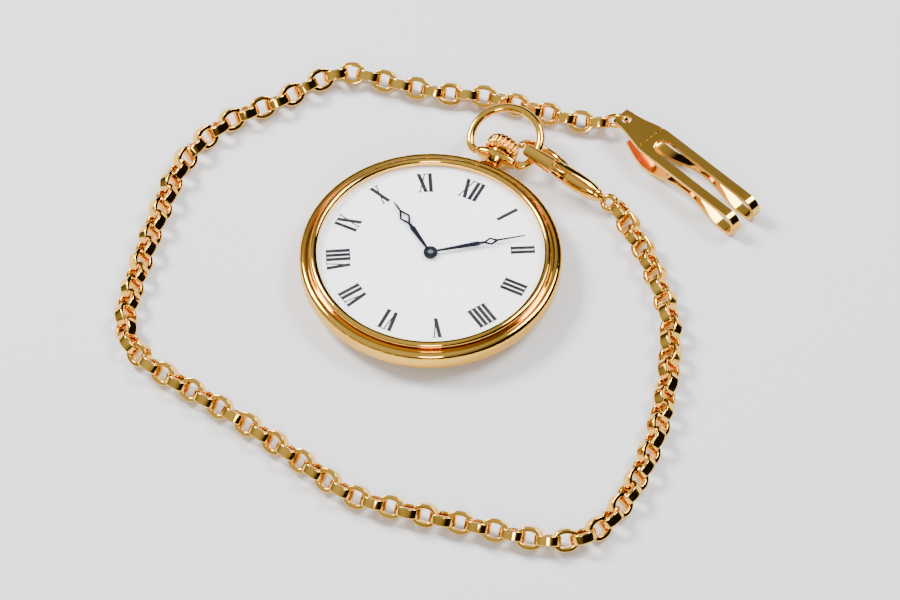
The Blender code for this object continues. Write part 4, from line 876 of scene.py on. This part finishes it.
class MakeDial(bpy.types.Operator):
    """Makes the dial with its printed numerals, and the two hands"""

    bl_idname = "watch.make_dial"
    bl_label = "Dial and hands"

    def execute(self, context):
        sizes = context.scene.watch_dial
        plate_mesh = disc(DIAL_RADIUS, DIAL_TOP - 0.3, DIAL_TOP, 0.05, bore=0.9)
        dial = piece("dial_plate", plate_mesh, "dial")
        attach(dial, CASE_BODY)
        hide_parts("dial")
        ink = piece("printed_numerals", numerals_mesh(sizes), "ink")
        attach(ink, CASE_BODY)
        make_hand("hour_hand", sizes.hour_length, 6.5, (0.95, 8.6, 1.6), 720, sizes.minutes_shown)
        make_hand("minute_hand", sizes.minute_length, 8.4, (0.78, 10.05, 1.2), 60, sizes.minutes_shown)
        post_foot = Matrix.Translation((0, 0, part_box("minute_hand")[0].z + 0.02 * MM))
        post = disc(0.42, 0, 0.2, 0.06, sides=32)
        cap = piece("centre_post_end", post, "steel", post_foot)
        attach(cap, "minute_hand")
        return {"FINISHED"}


# ---- clasp


def barrel_rings():
    """Rings of the clasp's barrel along X, from its shoulder to its collared end."""
    stations = (
        (6.55, 1.05), (6.62, 1.22), (6.78, 1.32), (7.4, 1.4), (8.4, 1.5), (9.6, 1.57), (11.0, 1.6),
        (12.4, 1.57), (13.5, 1.47), (14.3, 1.32), (14.75, 1.18), (14.85, 1.05), (15.0, 1.02),
        (15.1, 1.12), (15.4, 1.1), (15.55, 0.98), (15.6, 0.8),
    )
    return [[(u, v, w) for v, w in circle(radius, 40)] for u, radius in stations]


HOOK_STEPS = 60


def hook_path():
    """The hook's middle line: from the barrel's far side, round under the bow, to its tip."""
    points = [
        (9.3, 0.9, 0), (8.4, 1.75, 0), (7.2, 3.0, 0), (5.6, 4.25, 0), (3.9, 4.9, 0), (2.4, 4.8, 0),
        (1.1, 4.0, 0), (0.4, 2.9, 0), (0.08, 1.7, 0), (0.0, 0.6, 0), (0.0, -0.1, 0), (0.02, -0.4, 0),
    ]
    return smooth_path(points, HOOK_STEPS)


def hook_sections():
    """The hook's section: a broad leaf by the barrel that draws down to a round tip."""
    sections = []
    for step in range(HOOK_STEPS):
        share = step / (HOOK_STEPS - 1)
        round_off = min(1.0, (1.005 - share) / 0.03) ** 0.5
        across = eased((0.42, 0.5, 0.55, 0.6, 0.6, 0.6, 0.56), share) * round_off
        up = eased((1.15, 1.0, 0.82, 0.68, 0.62, 0.62, 0.6), share) * round_off
        sections.append(oval(across, up, 20, 2.3))
    return sections


def gate_rings():
    """Rings of the sprung gate along X: flat triangular nose, rounded bar, narrow tail."""
    rings = []
    for u, low, high, wide, square in (
        (0.82, -0.6, 0.05, 0.7, 3.5), (0.9, -0.82, 0.12, 0.86, 3.0), (1.6, -1.0, 0.18, 1.04, 2.8),
        (2.6, -1.08, 0.22, 1.14, 2.6), (4.0, -1.16, 0.26, 1.24, 2.5), (5.2, -1.2, 0.3, 1.32, 2.5),
        (6.2, -1.24, 0.32, 1.38, 2.6), (6.32, -1.12, 0.3, 1.2, 2.8), (6.36, -1.0, 0.3, 0.66, 3.2),
        (8.0, -1.0, 0.45, 0.64, 3.2), (9.6, -0.28, 0.6, 0.62, 3.2), (11.6, 0.5, 1.15, 0.6, 3.2),
        (13.2, 1.15, 1.65, 0.58, 3.0), (13.9, 1.5, 2.1, 0.55, 2.6), (14.0, 1.7, 2.05, 0.35, 2.4),
    ):
        middle, half = (low + high) / 2, (high - low) / 2
        rings.append([(u, middle + v, w) for v, w in oval(half, wide, 28, square)])
    return rings


class MakeClasp(bpy.types.Operator):
    """Makes the swivel clasp: barrel and hook, sprung gate, pin and swivel ring"""

    bl_idname = "watch.make_clasp"
    bl_label = "Clasp"

    def execute(self, context):
        place = clasp_frame()
        body = piece("clasp_barrel", skin(barrel_rings()), place=place)
        half = 0.74  # of the slot that the gate's tail lies in
        for name, outline, low, high in (
            ("gate_notch", oblong(5.0, -3.0, 9.1, 0.85), -half, half),
            ("gate_slot", oblong(9.0, -0.95, 14.4, 3.0), -half, half),
            ("side_seam", oblong(7.6, -3.0, 14.7, -0.75), 0.8, 0.92),
        ):
            cut(body, plate(outline, low, high), name)
        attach(body, BOW_BODY)
        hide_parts("clasp_body")
        hook = sweep(hook_path(), hook_sections(), Vector((0, 0, 1)))
        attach(piece("clasp_hook", hook, place=place), BOW_BODY)

        gate = piece("clasp_gate", skin(gate_rings()), place=place, sharp=40)
        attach(gate, "clasp_trigger")
        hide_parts("clasp_trigger")

        pin_place = place @ Matrix.Translation((CLASP_PIN[0] * MM, CLASP_PIN[1] * MM, 0))
        pin = piece("clasp_rivet", disc(0.36, -1.42, 1.42, 0.1, sides=32), place=pin_place)
        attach(pin, BOW_BODY)
        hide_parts("clasp_pin")

        end = place @ Matrix.Translation((BARREL_LENGTH * MM, 0, 0))
        loop = [Vector((1.97 + x, 0, z)) for x, z in circle(1.12, 48)]
        ring = sweep(loop, oval(0.5, 0.6, 20, 2.2), Vector((0, 1, 0)), closed=True)
        post = (
            (-0.9, 0.4), (-0.05, 0.45), (0.0, 0.7), (0.2, 0.78), (0.38, 0.66), (0.55, 0.5), (0.85, 0.4),
        )
        skin([[(x, y, z) for y, z in circle(radius, 32)] for x, radius in post], mesh=ring)
        swivel = piece("clasp_swivel_ring", ring, place=end)
        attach(swivel, "clasp_swivel")
        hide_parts("clasp_swivel")
        return {"FINISHED"}


# ---- chain and pocket clip

BLENDED_LINKS = 3  # links by the clasp, made as a piece of their own


def link_shape(sizes):
    """Rings of one band link in its own frame: X along the chain, Z through its opening."""
    half_length = (sizes.link_length - sizes.band_thickness) / 2
    half_width = (sizes.link_width - sizes.band_thickness) / 2
    thick, wide = sizes.band_thickness / 2, sizes.band_width / 2
    section = soften(oblong(-thick, -wide, thick, wide), 0.2)
    rings = []
    for x, y in oval(half_length, half_width, 32, 2.15):
        outward = Vector((x / half_length**2, y / half_width**2, 0)).normalized()
        centre = Vector((x, y, 0))
        rings.append([centre + outward * across + Vector((0, 0, up)) for across, up in section])
    return rings


def link_frames(sizes):
    """Where each link stands on the route, rolled by turns to either side."""
    route = [(x, y, CHAIN_HEIGHT) for x, y in CHAIN_ROUTE]
    swivel = JOINTS["clasp_swivel_turn"]
    ring = Vector(swivel["pos_m"]) / MM + Vector(swivel["axis"]) * 2.0
    lead = [tuple(ring + Vector((1.1, -0.55, -0.25)))]  # the first link hangs in the ring
    pitch = sizes.link_length - 2 * sizes.band_thickness
    dense = smooth_path(lead + route, 4000)
    count = round(path_length(dense) / pitch)
    places = smooth_path(lead + route, 2 * count + 1)[1::2]
    chance = Random(7)
    frames = []
    for index, here in enumerate(places):
        along = run_at(places, index)
        side = Vector((0, 0, 1)).cross(along).normalized()
        up = along.cross(side)
        lean = sizes.roll * (1 if index % 2 else -1) + chance.uniform(-0.12, 0.12)
        across = side * cos(lean) + up * sin(lean)
        turn = Matrix((along, across, along.cross(across))).transposed()
        frames.append((here, turn))
    return frames, dense


def links_mesh(frames, sizes):
    """The links that stand at a list of frames, in one mesh."""
    mesh = bmesh.new()
    rings = link_shape(sizes)
    for here, turn in frames:
        skin([[here + turn @ point for point in ring] for ring in rings], True, mesh)
    return mesh


def clip_eye():
    """Where the last link passes through the pocket clip."""
    heading = radians(CLIP_HEADING)
    forward = Vector((cos(heading), sin(heading), 0))
    return Vector((*CLIP_PLACE, CLIP_HEIGHT - CLIP_THICKNESS / 2)) + forward * 1.3


def end_link(mesh):
    """The last link, which climbs from the chain through the eye of the pocket clip."""
    eye = clip_eye()
    low = Vector((*CHAIN_ROUTE[-1], CHAIN_HEIGHT))
    along = (eye - low).normalized()
    side = along.cross(Vector((0, 0, 1))).normalized()
    up = side.cross(along)
    centre = (eye + low) / 2
    half = (eye - low).length / 2 + 0.1
    loop = [centre + along * x + up * y for x, y in oval(half, 1.15, 36, 2.2)]
    sweep(loop, oval(0.34, 0.42, 14, 2.2), side, True, mesh)


class MakeChain(bpy.types.Operator):
    """Makes the chain of separate links, with the few by the clasp as a piece of their own"""

    bl_idname = "watch.make_chain"
    bl_label = "Chain"

    def execute(self, context):
        sizes = context.scene.watch_chain
        frames, line = link_frames(sizes)
        mesh = links_mesh(frames[BLENDED_LINKS:], sizes)
        end_link(mesh)
        chain = piece("chain_links", mesh, sharp=60)
        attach(chain, CASE_BODY)
        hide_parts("chain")
        near = piece("chain_clasp_links", links_mesh(frames[:BLENDED_LINKS], sizes), sharp=60)
        for links in (chain, near):
            links.modifiers.new("flat_faces", "WEIGHTED_NORMAL")
        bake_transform(near)
        return {"FINISHED"}


def clip_line():
    """The clip from its side: straight top, folded end and wavy spring leg, as (along, height)."""
    top = CLIP_HEIGHT - CLIP_THICKNESS / 2
    low = CLIP_THICKNESS / 2
    bend = (top - low) / 2
    far = CLIP_LENGTH - bend
    upper = [(far * share, top) for share in (0, 0.1, 0.2, 0.3, 0.4, 0.5, 0.6, 0.7, 0.8, 0.9, 0.97)]
    fold = arc((far, low + bend), bend, 90, -90, 14)
    leg = [(far * share, low + rise) for share, rise in (
        (0.92, 0.25), (0.82, 1.4), (0.73, 2.3), (0.64, 2.45), (0.55, 2.0), (0.46, 1.0), (0.38, 0.35),
        (0.3, 0.35), (0.2, 0.95), (0.13, 1.6),
    )]
    return smooth_path(upper + fold + leg, 150)


def clip_ribbon():
    """The clip as one plain ribbon, before its outline is cut."""
    line = clip_line()
    wide = CLIP_WIDTH / 2
    rows = []
    for index, here in enumerate(line):
        run = run_at(line, index)
        across = Vector((-run.y, run.x)) * CLIP_THICKNESS / 2
        rows.append([
            (point.x, side, point.y)
            for point, sides in ((here + across, (-wide, wide)), (here - across, (wide, -wide)))
            for side in sides
        ])
    return skin(rows)


class MakeClip(bpy.types.Operator):
    """Makes the pocket clip: one folded ribbon, necked at the chain end and slotted"""

    bl_idname = "watch.make_clip"
    bl_label = "Pocket clip"

    def execute(self, context):
        heading = radians(CLIP_HEADING)
        place = placed((*CLIP_PLACE, 0), (cos(heading), sin(heading), 0), (-sin(heading), cos(heading), 0))
        clip = piece("clip_ribbon", clip_ribbon(), place=place)
        shoulder = CLIP_LENGTH * 0.3
        wide, neck, tall = CLIP_WIDTH / 2, CLIP_NECK / 2, CLIP_HEIGHT + 1
        flank = [(-1, neck - 0.25), (0, neck - 0.2), (1.0, neck)]
        for step in range(1, 17):
            ease = (1 - cos(pi * step / 16)) / 2
            flank.append((1.0 + (shoulder - 1.0) * step / 16, neck + (wide - neck) * ease))
        for side in (-1, 1):
            waste = [(x, side * y) for x, y in flank]
            waste += [(shoulder, side * (wide + 1)), (-1, side * (wide + 1))]
            cut(clip, plate(waste, -1, tall), "neck_side")
        radius = CLIP_SLOT / 2
        start = CLIP_LENGTH * 0.29
        slot = arc((start + radius, 0), radius, 90, 270, 24)
        slot += [(CLIP_LENGTH + 1, -radius), (CLIP_LENGTH + 1, radius)]
        cut(clip, plate(slot, -1, tall), "long_slot")
        eye = [(x + 1.5, y) for x, y in circle(0.8, 32)]
        cut(clip, plate(eye, -1, tall), "chain_eye")
        cut(clip, plate(oblong(6.95, -wide, 7.3, wide), CLIP_HEIGHT - 0.12, tall), "engraved_line")
        round_edges(
            clip, 0.07, segments=3, limit_method="ANGLE", angle_limit=radians(40), harden_normals=True
        )
        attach(clip, CASE_BODY)
        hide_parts("pocket_clip")
        return {"FINISHED"}


# ---- movement


INSIDE = {
    "nickel": ("mainplate", "barrel_bridge", "train_bridge", "balance_cock", "pallet_bridge"),
    "gilt": (
        "centre_wheel", "third_wheel", "fourth_wheel", "barrel_drum", "barrel_cover", "balance_wheel",
        "minute_wheel", "hour_wheel",
    ),
    "blued": ("hairspring",),
    "ruby": ("balance_jewel",),
}


class FinishMovement(bpy.types.Operator):
    """Gives every movement part that stays as packed its own metal"""

    bl_idname = "watch.finish_movement"
    bl_label = "Movement"

    def execute(self, context):
        looks = {name: look for look, names in INSIDE.items() for name in names}
        for name, node in frame["nodes"].items():
            if node.hide_render:
                continue
            node.data.materials.clear()
            node.data.materials.append(finish(looks.get(name, "steel")))
        return {"FINISHED"}


# ---- stage

FLOOR_HALF = 1500


def aimed(place, target):
    """A frame at a place in metres that looks at a target."""
    sight = Vector(target) - Vector(place)
    return Matrix.Translation(place) @ sight.to_track_quat("-Z", "Y").to_matrix().to_4x4()


def dim_room():
    """A room that is dark low down and bright overhead, a little more so on the lit side."""
    world = bpy.data.worlds.new("dim_room")
    world.use_nodes = True
    tree = world.node_tree
    direction = add_node(tree, "ShaderNodeTexCoord").outputs["Generated"]
    lit_side = add_node(
        tree, "ShaderNodeVectorMath", {0: direction, 1: (-0.35, -0.33, 0.88)}, operation="DOT_PRODUCT"
    )
    room = tree.nodes["Background"]
    room.inputs["Strength"].default_value = 0.85
    ceiling = add_node(tree, "ShaderNodeValToRGB", {"Fac": lit_side.outputs["Value"]}, room.inputs["Color"])
    dark, bright = ceiling.color_ramp.elements
    dark.position, dark.color = 0.36, linear("#1C1D20")
    bright.position, bright.color = 0.85, linear("#EDF1F8")
    return world


class MakeStage(bpy.types.Operator):
    """Makes the pale floor, the soft lights and the camera"""

    bl_idname = "watch.make_stage"
    bl_label = "Stage"

    def execute(self, context):
        floor = plate(oblong(-FLOOR_HALF, -FLOOR_HALF, FLOOR_HALF, FLOOR_HALF), -4, 0)
        board = add_object("floor_board", finish_mesh("floor_board", floor, finish("floor")))
        for name, place, power, size, tint in (
            ("key_softbox", (-0.5, 0.05, 0.5), 9.5, 0.22, (1.0, 0.99, 0.96)),
            ("top_softbox", (0.34, 0.46, 0.75), 10.5, 0.42, (0.98, 0.99, 1.0)),
            ("fill_softbox", (0.3, -0.6, 0.5), 3.0, 0.2, (1.0, 1.0, 1.0)),
        ):
            lamp = bpy.data.lights.new(name, "AREA")
            lamp.energy = power
            lamp.size = size
            lamp.color = tint
            add_object(name, lamp, aimed(place, (0.004, -0.002, 0.003)))
        context.scene.world = dim_room()
        lens = bpy.data.cameras.new("long_lens")
        lens.sensor_width = 36.0
        lens.lens = 228.0
        lens.clip_end = 10.0
        view = aimed((0.2591, -0.5170, 0.7330), (0.0060, -0.0050, 0.002))
        context.scene.camera = add_object("camera", lens, view)
        return {"FINISHED"}


# ---- sidebar and registration

STEPS = (
    MakeStage, MakeClip, MakeChain, MakeCase, MakePendant, MakeDial, MakeClasp, FinishMovement,
)


class WatchPanel(bpy.types.Panel):
    """Lists the watch's sizes, colours and steps"""

    bl_idname = "VIEW3D_PT_watch"
    bl_label = "Gold Pocket Watch"
    bl_space_type = "VIEW_3D"
    bl_region_type = "UI"
    bl_category = "Watch"

    def draw(self, context):
        for group in (context.scene.watch_colours, context.scene.watch_dial, context.scene.watch_chain):
            for name in group.__annotations__:
                self.layout.prop(group, name)
        for step in STEPS:
            self.layout.operator(step.bl_idname)


GROUPS = (
    ("watch_colours", WatchColours), ("watch_dial", DialSizes), ("watch_chain", ChainSizes),
)


def register():
    """Registers the property groups, the operators and the panel."""
    for name, group in GROUPS:
        bpy.utils.register_class(group)
        setattr(bpy.types.Scene, name, PointerProperty(type=group))
    for step in STEPS:
        bpy.utils.register_class(step)
    bpy.utils.register_class(WatchPanel)


def unregister():
    """Takes everything away again."""
    bpy.utils.unregister_class(WatchPanel)
    for step in STEPS:
        bpy.utils.unregister_class(step)
    for name, group in GROUPS:
        delattr(bpy.types.Scene, name)
        bpy.utils.unregister_class(group)


def main():
    """Makes the whole watch in order."""
    for item in [item for item in bpy.data.objects if item.name in ("Cube", "Light", "Camera")]:
        bpy.data.objects.remove(item)
    register()
    for step in STEPS:
        getattr(bpy.ops.watch, step.bl_idname.removeprefix("watch."))()
    bpy.context.view_layer.update()


if __name__ == "__main__":
    main()
